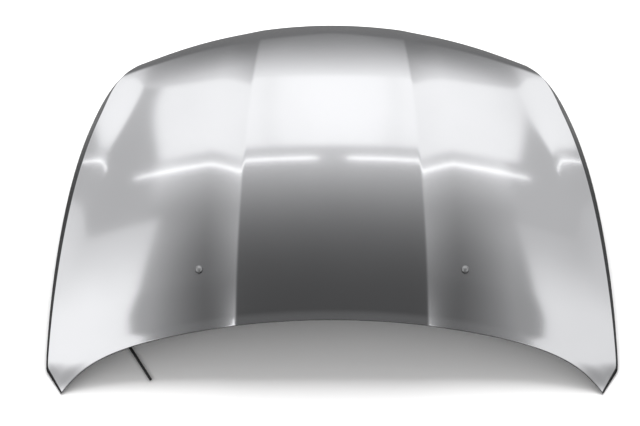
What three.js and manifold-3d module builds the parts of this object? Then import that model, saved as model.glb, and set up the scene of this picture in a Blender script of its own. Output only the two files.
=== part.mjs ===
// Car bonnet, removed from the car, lying skin up on its rear tips and its nose.
// Millimetres, +Z up, +Y towards the nose, +X to the right of somebody at the windscreen.
import * as THREE from 'three';
import { mergeVertices } from 'three/addons/utils/BufferGeometryUtils.js';
import Module from 'manifold-3d';

const wasm = await Module();
wasm.setup();

// Outline of the skin, seen from above
const HALF_WIDTH = 725;        // widest half, at the rear kinks
const REAR_TIP_X = HALF_WIDTH - 40.6;  // half spacing of the rear tips
const REAR_EDGE_Y = 160;       // middle of the rear edge, ahead of the tips
const REAR_BOW = 97.5;         // part of that which runs as a parabola
const REAR_POWER = 9.3;        // how late the edge sweeps back to the tip
const FRONT_EDGE_Y = 1006.7;   // middle of the front edge
const FRONT_CORNER_X = HALF_WIDTH - 201.5;  // half width at the front corners
const FRONT_BOW = 121.2;       // sweep back of the front edge
const CUT_Y = 59.7;            // length of the cut between tip and kink
const SIDE_BOW = 139.6;        // narrowing of the side towards the nose
const SIDE_POWER = 2.14;
const TURN_POWER = 11.9;       // how late the side turns into the front corner

// Height of the skin
const REAR_HEIGHT = 143;
const REAR_RISE = 0.073;
const CAMBER = -0.1255;
const NOSE_CAMBER = -0.1135;
const CROWN_REAR = 2400;       // crown radius across the car, rear
const CROWN_FRONT = 2600;
const SHOULDER_DROP = 10;
const TIP_DROOP = 18;
const TIP_DROOP_X = REAR_TIP_X - 164.4;
const TIP_DROOP_Y = 100;
const CREASE_REAR = 237;       // half spacing of the two creases
const CREASE_FRONT = 188;
const RAISE = 9;               // height of the centre panel over the flanks
const FLANK = 85;              // hollow flank beside each crease
const VALLEY_FRONT = [FRONT_CORNER_X - 61.5, FRONT_EDGE_Y - 46.7];
const VALLEY_REAR = [REAR_TIP_X - 19.4, REAR_EDGE_Y + 140];
const SHOULDER_LIFT = 0.12;    // slope of the raised shoulder outside the valley
const SHOULDER_SOFT = 10;
const ROLL_MIN = 3;            // side roll, plan width at the kink
const ROLL_GAIN = 27;          // and what it gains towards the nose
const ROLL_SLOPE = 1.1;
const STEEPEST = 0.62;         // cosine of the steepest slope that a sheet follows
const LIP = { front: { width: 45, slope: 0.32 }, rear: { width: 30, slope: 0.12 } };
const HEM_FLAT = 14;           // straight part of both lips, where the hem sits

// Sheet, gaps and hem
const SHEET = 0.8;
const GAP = 0.3;
const HEM = 9;                 // width of the folded hem
const FLANGE_TOP = SHEET + GAP;
const FLANGE_UNDER = FLANGE_TOP + SHEET;
const HEM_TOP = FLANGE_UNDER + 2 * GAP;
const HEM_UNDER = HEM_TOP + SHEET;

// Inner frame
const RING_DEPTH = 24;         // depth of the perimeter channel below the skin
const DIAGONAL_DEPTH = 20;
const CROSS_DEPTH = 17;
const REAR_RIB_DEPTH = 15;
const BOND_TOP = 4;            // depth of the flanges bonded to the skin
const BOND_UNDER = BOND_TOP + SHEET;
const BOND_WIDTH = 12;
const WALL_RUN = 9;            // run of a sloping channel wall
const RING_WEB = { side: 43, rear: 46, front: 66 };
const RIB_WEB = 52;
const CORNER_RELIEF = 15;      // radius cut out of the flange at the tips and front corners
const CROSS_Y = REAR_EDGE_Y + 310;
const REAR_RIB_X = 150;

// Fasteners and plates
const TRAY = { width: 42, length: 130, extra: 3.2 };
const HINGE_Y = REAR_EDGE_Y + 30;
const HINGE_INSET = 45;
const HINGE_BOLTS = TRAY.length - 50;  // spacing of the two hinge bolts
const BOLT_HOLE = 5;           // radius
const PLATE = 2;
const NUT = { across: 7.5, height: 6.5, bore: 3.35 };
const BOLT = { shank: 3, collar: 8.5, head: 6.2, hole: 3.6 };
const LATCH_Y = FRONT_EDGE_Y - 113.7;
const LATCH_TRAY = { width: 150, length: 56, extra: 3.2 };
const STRIKER = { plateLength: 96, plateWidth: 38, bolts: 70, rod: 4.2, span: 34, drop: 27 };

// Washer jets and hose
const JET_X = 332;
const JET_Y = 291;
const JET = { dome: 10, height: 7.5, stem: 4.6, hole: 5.1, nipple: 1.6, nippleLength: 12 };
const HOSE = { outer: 3.5, bore: 2.1, sides: 10 };
const HOSE_DEPTH = RING_DEPTH + 6.2;
const HOSE_INSET = 48;         // distance of the cross hose from the rear edge
const TEE = { body: 3.2, half: 8, reach: 20, offset: 45 };
const CLIP = { wall: 2, width: 9 };

// Rubber and plastic details
const BUFFER = { foot: 10, tip: 7, height: 9, neck: 3 };
const BUSH = { flange: 11, barrel: 7.4, bore: 4.5, hole: 8 };
const PAD = { length: 30, width: 8, top: 1.4, under: 3.7 };

// Blends and small maths
const clamp = (t, lo = 0, hi = 1) => Math.min(hi, Math.max(lo, t));
const smooth = (t) => clamp(t) ** 2 * (3 - 2 * clamp(t));
const mix = (a, b, t) => a + (b - a) * t;

// Plan outline: u runs from side to side, v from the rear edge to the front edge
const SIDE_LENGTH = FRONT_EDGE_Y - FRONT_BOW;
const CENTRE_LENGTH = FRONT_EDGE_Y - REAR_EDGE_Y;

function rearEdge(x) {
  const s = Math.abs(x) / REAR_TIP_X;
  return REAR_EDGE_Y - REAR_BOW * s ** 2 - (REAR_EDGE_Y - REAR_BOW) * s ** REAR_POWER;
}

function frontEdge(x) {
  return FRONT_EDGE_Y - FRONT_BOW * (x / FRONT_CORNER_X) ** 2;
}

function sideX(v) {
  const y = v * SIDE_LENGTH;
  if (y < CUT_Y) return mix(REAR_TIP_X, HALF_WIDTH, y / CUT_Y);
  const t = (y - CUT_Y) / (SIDE_LENGTH - CUT_Y);
  const turn = HALF_WIDTH - SIDE_BOW - FRONT_CORNER_X;
  return HALF_WIDTH - SIDE_BOW * t ** SIDE_POWER - turn * t ** TURN_POWER;
}

const rearY = (u) => rearEdge(u * REAR_TIP_X);
const frontY = (u) => frontEdge(u * FRONT_CORNER_X);
const run = (u) => frontY(u) - rearY(u);
const planX = (u, v) => u * sideX(v);
const planY = (u, v) => mix(rearY(u), frontY(u), v);
const rollWidth = (v) => ROLL_MIN + ROLL_GAIN * clamp(v) ** 0.9 * smooth((1 - v) / 0.2);

// Width of the frame's outer flange at the side, which covers the roll
const flangeWidth = (v) => Math.max(HEM_FLAT, rollWidth(v) + 8);

function creaseX(y) {
  const t = (y - REAR_EDGE_Y) / CENTRE_LENGTH;
  return CREASE_REAR - 4 * t - (CREASE_REAR - CREASE_FRONT - 4) * clamp(t) ** 2;
}

// Drop of a lip that bends down towards its edge and ends in a straight part
function lipDrop(inset, lip) {
  const d = Math.max(0, lip.width - inset);
  const bend = lip.width - HEM_FLAT;
  return d < bend ? (lip.slope * d * d) / (2 * bend) : lip.slope * (d - bend / 2);
}

function rawHeight(u, v) {
  const x = planX(u, v);
  const y = planY(u, v);
  const ax = Math.abs(x);
  const t = (y - REAR_EDGE_Y) / CENTRE_LENGTH;
  const radius = mix(CROWN_REAR, CROWN_FRONT, t);
  const nose = NOSE_CAMBER * Math.max(0, t) ** 4;
  let z = REAR_HEIGHT + CENTRE_LENGTH * (REAR_RISE * t + CAMBER * t * t + nose);
  z -= (x * x) / (2 * radius) + SHOULDER_DROP * (ax / 700) ** 6;
  const raise = RAISE * (0.55 + 0.45 * Math.sin(Math.PI * clamp(t)));
  z += raise * clamp(1 - (ax - creaseX(y)) / FLANK) ** 3;
  const [dx, dy] = [VALLEY_REAR[0] - VALLEY_FRONT[0], VALLEY_REAR[1] - VALLEY_FRONT[1]];
  const across = ((ax - VALLEY_FRONT[0]) * -dy + (y - VALLEY_FRONT[1]) * dx) / Math.hypot(dx, dy);
  const soft = SHOULDER_SOFT * Math.log1p(Math.exp(clamp(across / SHOULDER_SOFT, -30, 30)));
  z += SHOULDER_LIFT * soft * smooth((y - 250) / 350);
  z -= TIP_DROOP * smooth((ax - TIP_DROOP_X) / 200) * smooth((TIP_DROOP_Y - y) / TIP_DROOP_Y);
  const width = rollWidth(v);
  const inset = (1 - Math.abs(u)) * sideX(v);
  z -= ROLL_SLOPE * width * clamp(1 - inset / width) * (0.3 + 0.7 * smooth(v / 0.2));
  return z - lipDrop((1 - v) * run(u), LIP.front) - lipDrop(v * run(u), LIP.rear);
}

// The skin is levelled so that the rear tips and the nose lie on one plane
const TIP_LEVEL = rawHeight(1, 0);
const NOSE_LEVEL = rawHeight(0, 1);

function height(u, v) {
  return rawHeight(u, v) - mix(TIP_LEVEL, NOSE_LEVEL, planY(u, v) / FRONT_EDGE_Y);
}

// Slopes of the skin in the plan directions, from short steps along u and v
function slopes(u, v) {
  const e = 0.004;
  const [u0, u1] = [Math.max(-1, u - e), Math.min(1, u + e)];
  const [v0, v1] = [Math.max(0, v - e), Math.min(1, v + e)];
  const xu = planX(u1, v) - planX(u0, v);
  const yu = planY(u1, v) - planY(u0, v);
  const zu = height(u1, v) - height(u0, v);
  const xv = planX(u, v1) - planX(u, v0);
  const yv = planY(u, v1) - planY(u, v0);
  const zv = height(u, v1) - height(u, v0);
  const det = xu * yv - xv * yu;
  return [(zu * yv - zv * yu) / det, (xu * zv - xv * zu) / det];
}

function normalAt(u, v) {
  const [sx, sy] = slopes(u, v);
  return new THREE.Vector3(-sx, -sy, 1).normalize();
}

// A point a given depth below the skin; deep parts turn shallow where the skin nears the floor
function below(u, v, depth, lift = 0) {
  const z = height(u, v);
  const room = clamp((z - 10) / 25, 0.25, 1);
  const thin = Math.min(depth, BOND_UNDER) / Math.max(STEEPEST, normalAt(u, v).z);
  const deep = Math.max(0, depth - BOND_UNDER) * room;
  return new THREE.Vector3(planX(u, v), planY(u, v), z - thin - deep + lift);
}

// The surface parameters of a plan point
function locate(x, y) {
  let u = x / HALF_WIDTH;
  let v = 0.5;
  for (let i = 0; i < 25; i += 1) {
    v = (y - rearY(u)) / run(u);
    u = x / sideX(clamp(v));
  }
  return [u, v];
}

// Share of an inset that reaches a point inside the outline: it fades away from the edge
const share = (nearness, amount) => amount * nearness ** Math.max(1, 0.45 / Math.max(amount, 0.01));

// The same point moved in from the outline, by its own amount at the side, rear and front
function inset(u, v, side, rear, front) {
  const inner = u * (1 - share(Math.abs(u), side / sideX(v)));
  const length = run(inner);
  return [inner, v + share(1 - v, rear / length) - share(v, front / length)];
}

// Closed bodies are collected as quads and loops of quads
class Body {
  constructor() {
    this.points = [];
    this.faces = [];
  }

  add(point) {
    this.points.push(point.x, point.y, point.z);
    return this.points.length / 3 - 1;
  }

  // The diagonals of the left half mirror those of the right half
  quad(a, b, c, d) {
    const middle = [a, b, c, d].reduce((sum, k) => sum + this.points[3 * k], 0);
    if (middle < -1e-6) this.faces.push(b, c, d, b, d, a);
    else this.faces.push(a, b, c, a, c, d);
  }

  band(first, second) {
    const n = first.length;
    for (let i = 0; i < n; i += 1) {
      const j = (i + 1) % n;
      this.quad(first[i], second[i], second[j], first[j]);
    }
  }

  geometry() {
    const made = new THREE.BufferGeometry();
    made.setAttribute('position', new THREE.Float32BufferAttribute(this.points, 3));
    made.setIndex(this.faces);
    return made;
  }
}

// Manifold booleans, with plain geometries at both ends
function toSolid(geometry) {
  const bare = geometry.clone();
  bare.deleteAttribute('normal');
  bare.deleteAttribute('uv');
  const merged = mergeVertices(bare, 1e-4);
  const { array } = merged.index;
  const kept = [];
  for (let i = 0; i < array.length; i += 3) {
    const [a, b, c] = [array[i], array[i + 1], array[i + 2]];
    if (a !== b && b !== c && c !== a) kept.push(a, b, c);
  }
  return new wasm.Manifold(new wasm.Mesh({
    numProp: 3,
    vertProperties: new Float32Array(merged.attributes.position.array),
    triVerts: new Uint32Array(kept),
  }));
}

function toGeometry(solid) {
  const mesh = solid.getMesh();
  const made = new THREE.BufferGeometry();
  made.setAttribute('position', new THREE.Float32BufferAttribute(mesh.vertProperties, 3));
  made.setIndex(Array.from(mesh.triVerts));
  return made;
}

const largest = (solid) => solid.decompose().sort((a, b) => b.volume() - a.volume())[0];
const unite = (solids) => solids.reduce((all, next) => all.add(next));

// Stations of the skin grid: columns follow the creases and the roll, rows follow the lips
const COLUMNS = [3, 4, 8, 1, 2];
const REAR_ROWS = [0, HEM_FLAT, 22, LIP.rear.width, CUT_Y, 1.5 * CUT_Y];
const FRONT_ROWS = [72, LIP.front.width, 37, 29, 21, HEM_FLAT, 0];
const MIDDLE_ROWS = 13;

function columnMarks(v) {
  const x = sideX(v);
  const y = mix(REAR_EDGE_Y, FRONT_EDGE_Y, v);
  const flange = 1 - flangeWidth(v) / x;
  return [0, creaseX(y) / x, (creaseX(y) + FLANK) / x, flange, 1 - rollWidth(v) / x, 1];
}

function columnStations(v) {
  const marks = columnMarks(v);
  const half = [0];
  COLUMNS.forEach((count, k) => {
    for (let i = 1; i <= count; i += 1) half.push(mix(marks[k], marks[k + 1], i / count));
  });
  return [...half.slice(1).reverse().map((u) => -u), ...half];
}

function rowStations(u) {
  const rear = REAR_ROWS.map((d) => d / run(u));
  const front = FRONT_ROWS.map((d) => 1 - d / run(u));
  const middle = [];
  for (let i = 1; i < MIDDLE_ROWS; i += 1) {
    middle.push(mix(rear.at(-1), front[0], i / MIDDLE_ROWS));
  }
  return [...rear, ...middle, ...front];
}

const ROWS = rowStations(0).length;
const LINES = columnStations(0).length;

function gridPoint(row, line) {
  let u = 0;
  let v = rowStations(0)[row];
  for (let i = 0; i < 4; i += 1) {
    u = columnStations(v)[line];
    v = rowStations(u)[row];
  }
  return [u, v];
}

const GRID = Array.from({ length: ROWS }, (_, j) =>
  Array.from({ length: LINES }, (_, i) => gridPoint(j, i)));

// The outline as one loop of grid places, anticlockwise from above
function outlineLoop() {
  const loop = [];
  for (let i = 0; i < LINES - 1; i += 1) loop.push([0, i]);
  for (let j = 0; j < ROWS - 1; j += 1) loop.push([j, LINES - 1]);
  for (let i = LINES - 1; i > 0; i -= 1) loop.push([ROWS - 1, i]);
  for (let j = ROWS - 1; j > 0; j -= 1) loop.push([j, 0]);
  return loop;
}

const OUTLINE = outlineLoop();

// Outer skin: one sheet with its edge folded under all round
function makeSkin() {
  const body = new Body();
  const onEdge = (j, i) => j % (ROWS - 1) === 0 || i % (LINES - 1) === 0;
  const sheet = (depth, wall) => GRID.map((line, j) => line.map(([u, v], i) => {
    const edge = onEdge(j, i) ? wall : 0;
    return body.add(below(...inset(u, v, edge, edge, edge), depth));
  }));
  const top = sheet(0, 0);
  const under = sheet(SHEET, SHEET);
  for (let j = 0; j < ROWS - 1; j += 1) {
    for (let i = 0; i < LINES - 1; i += 1) {
      body.quad(top[j][i], top[j][i + 1], top[j + 1][i + 1], top[j + 1][i]);
      body.quad(under[j][i], under[j + 1][i], under[j + 1][i + 1], under[j][i + 1]);
    }
  }
  const pick = (grid) => OUTLINE.map(([j, i]) => grid[j][i]);
  const ring = (depth, edge) => OUTLINE.map(([j, i]) =>
    body.add(below(...inset(...GRID[j][i], edge, edge, edge), depth)));
  const loops = [
    pick(top),
    ring(HEM_UNDER, 0),
    ring(HEM_UNDER, HEM),
    ring(HEM_TOP, HEM),
    ring(HEM_TOP, SHEET),
    pick(under),
  ];
  for (let k = 0; k < loops.length - 1; k += 1) body.band(loops[k], loops[k + 1]);
  return body.geometry();
}

// Perimeter channel: each profile point has its inset at the side, rear and front
function ringMarks(v) {
  const roll = rollWidth(v);
  const series = (bend, start, wall, web) => ({
    edge: 2 * FLANGE_TOP,
    bend,
    start,
    web0: start + wall,
    web1: start + wall + web,
    bond0: start + wall + web + WALL_RUN,
    bond1: start + wall + web + WALL_RUN + BOND_WIDTH,
  });
  return [
    series(roll, flangeWidth(v), WALL_RUN, RING_WEB.side),
    series(8, HEM_FLAT, WALL_RUN, RING_WEB.rear),
    series(8, HEM_FLAT, 2 * WALL_RUN, RING_WEB.front),
  ];
}

function ringSolid(profile) {
  const body = new Body();
  const loops = profile.map(([mark, shift, depth, lift]) => OUTLINE.map(([j, i]) => {
    const [u, v] = GRID[j][i];
    const places = ringMarks(v).map((series) => series[mark] + shift);
    return body.add(below(...inset(u, v, ...places), depth, lift));
  }));
  loops.forEach((loop, k) => body.band(loop, loops[(k + 1) % loops.length]));
  return toSolid(body.geometry());
}

const RING_OUTER = [
  ['edge', 0, FLANGE_UNDER, 0],
  ['bend', 0, FLANGE_UNDER, 0],
  ['start', 0, FLANGE_UNDER, 0],
  ['web0', 0, RING_DEPTH, 0],
  ['web1', 0, RING_DEPTH, 0],
  ['bond0', 0, BOND_UNDER, 0],
  ['bond1', 0, BOND_UNDER, 0],
  ['bond1', 0, BOND_TOP, 0],
  ['bond0', 0, BOND_TOP, 0],
  ['start', 0, FLANGE_TOP, 0],
  ['bend', 0, FLANGE_TOP, 0],
  ['edge', 0, FLANGE_TOP, 0],
];

const RING_INNER = [
  ['start', SHEET, FLANGE_UNDER, 0],
  ['web0', SHEET / 2, RING_DEPTH, SHEET],
  ['web1', -SHEET / 2, RING_DEPTH, SHEET],
  ['bond0', -SHEET, BOND_UNDER, 0],
  ['bond0', -SHEET, 0, 0],
  ['start', SHEET, 0, 0],
];

// Straight rib between two plan points
function ribSolid(from, to, profile) {
  const body = new Body();
  const length = Math.hypot(to[0] - from[0], to[1] - from[1]);
  const steps = Math.max(2, Math.round(length / 42));
  const side = [(to[1] - from[1]) / length, -(to[0] - from[0]) / length];
  const section = (t) => profile.map(([offset, depth, lift]) => {
    const x = mix(from[0], to[0], t) + side[0] * offset;
    const y = mix(from[1], to[1], t) + side[1] * offset;
    return body.add(below(...locate(x, y), depth, lift));
  });
  const sections = [];
  for (let s = 0; s <= steps; s += 1) sections.push(section(s / steps));
  for (let s = 0; s < steps; s += 1) body.band(sections[s + 1], sections[s]);
  const cap = (loop) => {
    for (let i = 1; i < loop.length - 1; i += 1) body.faces.push(loop[0], loop[i], loop[i + 1]);
  };
  cap([...sections[0]].reverse());
  cap(sections.at(-1));
  return toSolid(body.geometry());
}

function ribProfiles(depth) {
  const web = RIB_WEB / 2;
  const bond = web + WALL_RUN;
  const end = bond + BOND_WIDTH;
  return {
    channel: [[-bond, BOND_UNDER, 0], [-end, BOND_UNDER, 0], [-end, BOND_TOP, 0],
      [end, BOND_TOP, 0], [end, BOND_UNDER, 0], [bond, BOND_UNDER, 0],
      [web, depth, 0], [-web, depth, 0]],
    hollow: [[-bond + SHEET, 0, 0], [bond - SHEET, 0, 0], [bond - SHEET, BOND_UNDER, 0],
      [web - SHEET / 2, depth, SHEET], [-web + SHEET / 2, depth, SHEET],
      [-bond + SHEET, BOND_UNDER, 0]],
  };
}

const mirrored = ([from, to, depth]) => [[-from[0], from[1]], [-to[0], to[1]], depth];
const DIAGONAL = [[93, LATCH_Y + 8], [REAR_TIP_X - 206.4, HINGE_Y], DIAGONAL_DEPTH];
const REAR_RIB = [[REAR_RIB_X - 20, CROSS_Y], [REAR_RIB_X + 14, HINGE_Y + 10], REAR_RIB_DEPTH];
const CROSS_X = mix(DIAGONAL[0][0], DIAGONAL[1][0],
  (DIAGONAL[0][1] - CROSS_Y) / (DIAGONAL[0][1] - DIAGONAL[1][1]));
const CROSS_RIB = [[-CROSS_X, CROSS_Y], [CROSS_X, CROSS_Y], CROSS_DEPTH];
const RIBS = [DIAGONAL, mirrored(DIAGONAL), CROSS_RIB, REAR_RIB, mirrored(REAR_RIB)];

// A frame standing on the skin: x across, y along the car, z out of the skin
function seat(x, y) {
  const [u, v] = locate(x, y);
  const up = normalAt(u, v);
  const across = new THREE.Vector3(0, 1, 0).cross(up).normalize();
  const along = up.clone().cross(across);
  const matrix = new THREE.Matrix4().makeBasis(across, along, up);
  return matrix.setPosition(planX(u, v), planY(u, v), height(u, v));
}

const origin = new THREE.Matrix4();

function boxAt(matrix, width, length, bottom, top) {
  const box = new THREE.BoxGeometry(width, length, top - bottom);
  return box.translate(0, 0, (bottom + top) / 2).applyMatrix4(matrix);
}

function drumAt(matrix, x, y, radius, bottom, top, sides = 16) {
  const drum = new THREE.CylinderGeometry(radius, radius, top - bottom, sides);
  return drum.rotateX(Math.PI / 2).translate(x, y, (bottom + top) / 2).applyMatrix4(matrix);
}

// Flat pressed trays in the perimeter channel, at the hinges and at the latch
const hingeX = sideX(HINGE_Y / SIDE_LENGTH) - HINGE_INSET;
const TRAYS = [
  { name: 'left', matrix: seat(-hingeX, HINGE_Y), size: TRAY },
  { name: 'right', matrix: seat(hingeX, HINGE_Y), size: TRAY },
  { name: 'latch', matrix: seat(0, LATCH_Y), size: LATCH_TRAY },
];
const [TRAY_LEFT, TRAY_RIGHT, TRAY_LATCH] = TRAYS;
const trayUnder = -(RING_DEPTH + TRAY.extra);
const trayTop = trayUnder + SHEET;

function boltPlaces(tray) {
  const latch = tray === TRAY_LATCH;
  const half = (latch ? STRIKER.bolts : HINGE_BOLTS) / 2;
  return [-1, 1].map((s) => (latch ? [s * half, 0] : [0, s * half]));
}

// Drain and access holes through the channel web
const RING_HOLES = [
  [250, 'front'], [330, 'front'], [110, 'rear'], [240, 'rear'], [400, 'rear'],
];

function makeFrame() {
  const outer = [ringSolid(RING_OUTER)];
  const inner = [ringSolid(RING_INNER)];
  RIBS.forEach(([from, to, depth]) => {
    const { channel, hollow } = ribProfiles(depth);
    outer.push(ribSolid(from, to, channel));
    inner.push(ribSolid(from, to, hollow));
  });
  TRAYS.forEach(({ matrix, size }) => {
    const { width, length } = size;
    outer.push(toSolid(boxAt(matrix, width, length, trayUnder, trayUnder + 6)));
    const hollow = boxAt(matrix, width - 2 * SHEET, length - 2 * SHEET, trayTop, trayTop + 9);
    inner.push(toSolid(hollow));
  });
  TRAYS.forEach((tray) => boltPlaces(tray).forEach(([x, y]) => {
    inner.push(toSolid(drumAt(tray.matrix, x, y, BOLT_HOLE, trayUnder - 5, trayTop + 5)));
  }));
  RING_HOLES.forEach(([x, edge]) => [-x, x].forEach((at) => {
    const y = edge === 'rear' ? rearEdge(at) + 30 : frontEdge(at) - 72;
    inner.push(toSolid(drumAt(seat(at, y), 0, 0, 8, -RING_DEPTH - 6, -RING_DEPTH + 6, 14)));
  }));
  const corners = [[REAR_TIP_X, 0], [FRONT_CORNER_X, SIDE_LENGTH]];
  corners.forEach(([x, y]) => [-x, x].forEach((at) => {
    inner.push(toSolid(drumAt(origin, at, y, CORNER_RELIEF, -50, 100)));
  }));
  const pressed = unite(outer).subtract(unite(inner)).simplify(0.08);
  return toGeometry(largest(pressed));
}

// Seats on the pressed faces of the frame, found by looking straight up from the floor
const frame = makeFrame();
const probe = new THREE.Mesh(frame, new THREE.MeshBasicMaterial({ side: THREE.DoubleSide }));
const caster = new THREE.Raycaster();

const alongX = new THREE.Vector3(1, 0, 0);
const alongY = new THREE.Vector3(0, 1, 0);
const alongZ = new THREE.Vector3(0, 0, 1);

function faceAbove(point, direction) {
  caster.set(point, direction);
  const hit = caster.intersectObject(probe)[0];
  const normal = hit.face.normal.clone();
  if (normal.z < 0) normal.negate();
  return { point: hit.point, distance: hit.distance, normal };
}

const WELL_UNDER = -500;

function webSeat(x, y) {
  const { point, normal } = faceAbove(new THREE.Vector3(x, y, WELL_UNDER), alongZ);
  const across = alongY.clone().cross(normal).normalize();
  const matrix = new THREE.Matrix4().makeBasis(across, normal.clone().cross(across), normal);
  return matrix.setPosition(point);
}

// Turned pieces, from [radius, height] pairs listed from the bottom up
function turned(profile, sides = 16) {
  const points = profile.map(([r, z]) => new THREE.Vector2(r, z));
  return new THREE.LatheGeometry(points, sides).rotateX(Math.PI / 2);
}

function cut(geometry, ...tools) {
  return toGeometry(toSolid(geometry).subtract(unite(tools.map(toSolid))));
}

function fuse(...geometries) {
  return toGeometry(unite(geometries.map(toSolid)));
}

const placed = (geometry, matrix) => geometry.applyMatrix4(matrix);

// Plates with bolt holes, lying on a tray between two heights
function plate(tray, width, length, bottom, top, hole) {
  const blank = boxAt(origin, width, length, bottom, top);
  const drills = boltPlaces(tray).map(([x, y]) =>
    drumAt(origin, x, y, hole, bottom - 1, top + 1));
  return placed(cut(blank, ...drills), tray.matrix);
}

function weldNut(tray, [x, y], bottom) {
  const top = bottom + NUT.height;
  const hex = drumAt(origin, x, y, NUT.across, bottom, top, 6);
  const bore = drumAt(origin, x, y, NUT.bore, bottom - 1, top + 1, 12);
  return placed(cut(hex, bore), tray.matrix);
}

function flangeBolt(tray, [x, y], under, top) {
  const collar = drumAt(origin, x, y, BOLT.collar, under - 1.4, under, 18);
  const head = drumAt(origin, x, y, BOLT.head, under - 6, under - 1.2, 6);
  const shank = drumAt(origin, x, y, BOLT.shank, under - 1, top, 12);
  return placed(fuse(collar, head, shank), tray.matrix);
}

// Polygon used as the section of rods and hoses
function ringShape(radius, sides = HOSE.sides) {
  const shape = new THREE.Shape();
  for (let i = 0; i < sides; i += 1) {
    const a = (2 * Math.PI * (i + 0.5)) / sides;
    shape[i ? 'lineTo' : 'moveTo'](radius * Math.cos(a), radius * Math.sin(a));
  }
  return shape.closePath();
}

function swept(curve, radius, steps, sides = HOSE.sides) {
  return new THREE.ExtrudeGeometry(ringShape(radius, sides), {
    extrudePath: curve,
    steps,
    bevelEnabled: false,
  });
}

// A round bar between two points
function bar(from, to, radius, sides = HOSE.sides) {
  const along = to.clone().sub(from);
  const rod = new THREE.CylinderGeometry(radius, radius, along.length(), sides);
  const turn = new THREE.Quaternion().setFromUnitVectors(
    new THREE.Vector3(0, 1, 0), along.clone().normalize());
  return rod.applyQuaternion(turn).translate(...from.clone().lerp(to, 0.5).toArray());
}

// Hose along a route, bored where it slips over a nipple or ends open
function hose(points, steps, boreStart = 16, boreEnd = 16) {
  const curve = new THREE.CatmullRomCurve3(points, false, 'centripetal');
  const tube = swept(curve, HOSE.outer, steps);
  const bores = [[0, boreStart], [1, boreEnd]].filter(([, depth]) => depth > 0);
  const tools = bores.map(([t, depth]) => {
    const end = curve.getPointAt(t);
    const inward = curve.getTangentAt(t).multiplyScalar(t ? -1 : 1);
    const from = end.clone().addScaledVector(inward, -2);
    return bar(from, end.clone().addScaledVector(inward, depth), HOSE.bore);
  });
  return { curve, geometry: tools.length ? cut(tube, ...tools) : tube };
}

// Washer jet: a domed head with a fan slot, a stem through the skin and a hose nipple
function jetBody(direction) {
  const foot = -(HOSE_DEPTH + 4.5);
  const rim = JET.dome;
  const body = turned([[0, foot], [JET.stem - 0.6, foot], [JET.stem, foot + 0.8], [JET.stem, 1.3],
    [rim - 0.8, 1.3], [rim, 2], [rim, 3], [rim - 0.9, 4.9], [rim - 3, 6.5], [rim - 6, 7.4],
    [0, JET.height]], 18);
  const tip = direction.clone().multiplyScalar(JET.stem + JET.nippleLength);
  const level = new THREE.Vector3(0, 0, -HOSE_DEPTH);
  const nipple = bar(level, tip.add(level), JET.nipple, 8);
  const slot = boxAt(new THREE.Matrix4().makeTranslation(0, -rim, 0), 5, 7, 3.6, 4.6);
  return cut(fuse(body, nipple), slot);
}

const JETS = [
  { name: 'left', matrix: seat(-JET_X, JET_Y), nipple: alongX.clone().negate() },
  { name: 'right', matrix: seat(JET_X, JET_Y), nipple: alongY.clone().negate() },
];
const [JET_LEFT, JET_RIGHT] = JETS;
const TEE_PLACE = new THREE.Vector3(-TEE.offset, 0, -HOSE_DEPTH);

function teeBody() {
  const at = (x, y) => TEE_PLACE.clone().add(new THREE.Vector3(x, y, 0));
  const { half, reach, body } = TEE;
  return placed(fuse(
    bar(at(-half, 0), at(half, 0), body, 12),
    bar(at(0, 0), at(0, -half), body, 12),
    bar(at(-reach, 0), at(reach, 0), JET.nipple, 8),
    bar(at(0, 0), at(0, -reach), JET.nipple, 8),
  ), JET_LEFT.matrix);
}

// Straight start of a hose at a nipple: four points in line, in a seat's own frame
function nippleRun(matrix, root, direction, first) {
  return [0, 6, 12, 20].map((step) => root.clone()
    .addScaledVector(direction, first + step)
    .applyMatrix4(matrix));
}

const down = new THREE.Vector3(0, 0, -HOSE_DEPTH);
const plan = (x, y) => below(...locate(x, y), HOSE_DEPTH);
const rearLine = (x) => plan(x, rearEdge(x) + HOSE_INSET);
const hoseStart = TEE.half + GAP;

function crossRoute() {
  const branch = nippleRun(JET_LEFT.matrix, TEE_PLACE, JET_LEFT.nipple.clone().set(0, -1, 0),
    hoseStart);
  const jetEnd = nippleRun(JET_RIGHT.matrix, down, JET_RIGHT.nipple, JET.stem + 2 * GAP);
  const x0 = branch[3].x;
  const corner = [[1, 63], [10, 87], [32, 103]].map(([dx, dy]) => plan(x0 + dx, JET_Y - dy));
  const line = Array.from({ length: 15 }, (_, i) => rearLine(mix(32 - JET_X, JET_X - 58, i / 14)));
  const approach = [[29, 93], [8, 71], [0, 45]].map(([dx, dy]) => plan(JET_X - dx, JET_Y - dy));
  return [...branch, ...corner, ...line, ...approach, ...jetEnd.reverse()];
}

// The supply hose ends straight in its last clip, below the left channel
const EXIT_Y = JET_Y + 17;
const EXIT_X = 47.3 - sideX(EXIT_Y / SIDE_LENGTH);
const fromExit = ([dx, dy]) => [EXIT_X + dx, EXIT_Y + dy];

function supplyRoute() {
  const start = nippleRun(JET_LEFT.matrix, TEE_PLACE, JET_LEFT.nipple, hoseStart);
  const x0 = start[3].x;
  const turn = [[0.2, -8], [0.41, 24], [0.6, 52], [0.77, 66], [0.9, 58], [0.97, 38]];
  const bend = turn.map(([part, dy]) => [mix(x0, EXIT_X, part), EXIT_Y + dy]);
  const last = [[0, 20], [0, 10], [0, 0]].map(fromExit);
  return [...start, ...[...bend, ...last].map(([x, y]) => plan(x, y))];
}

// The loose tail falls from the last clip to the floor and runs out behind the rear edge
const FLOOR = below(1, 0, HEM_UNDER).z;
const TAIL_PLAN = [[0, -GAP, 0], [0, -16, 0.5], [7, -38, 5], [27, -63, 14], [59, -90, 22],
  [92, -119, 99], [124, -152, 99], [155, -193, 99], [182, -233, 99], [208.5, -272.3, 99]];

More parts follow.
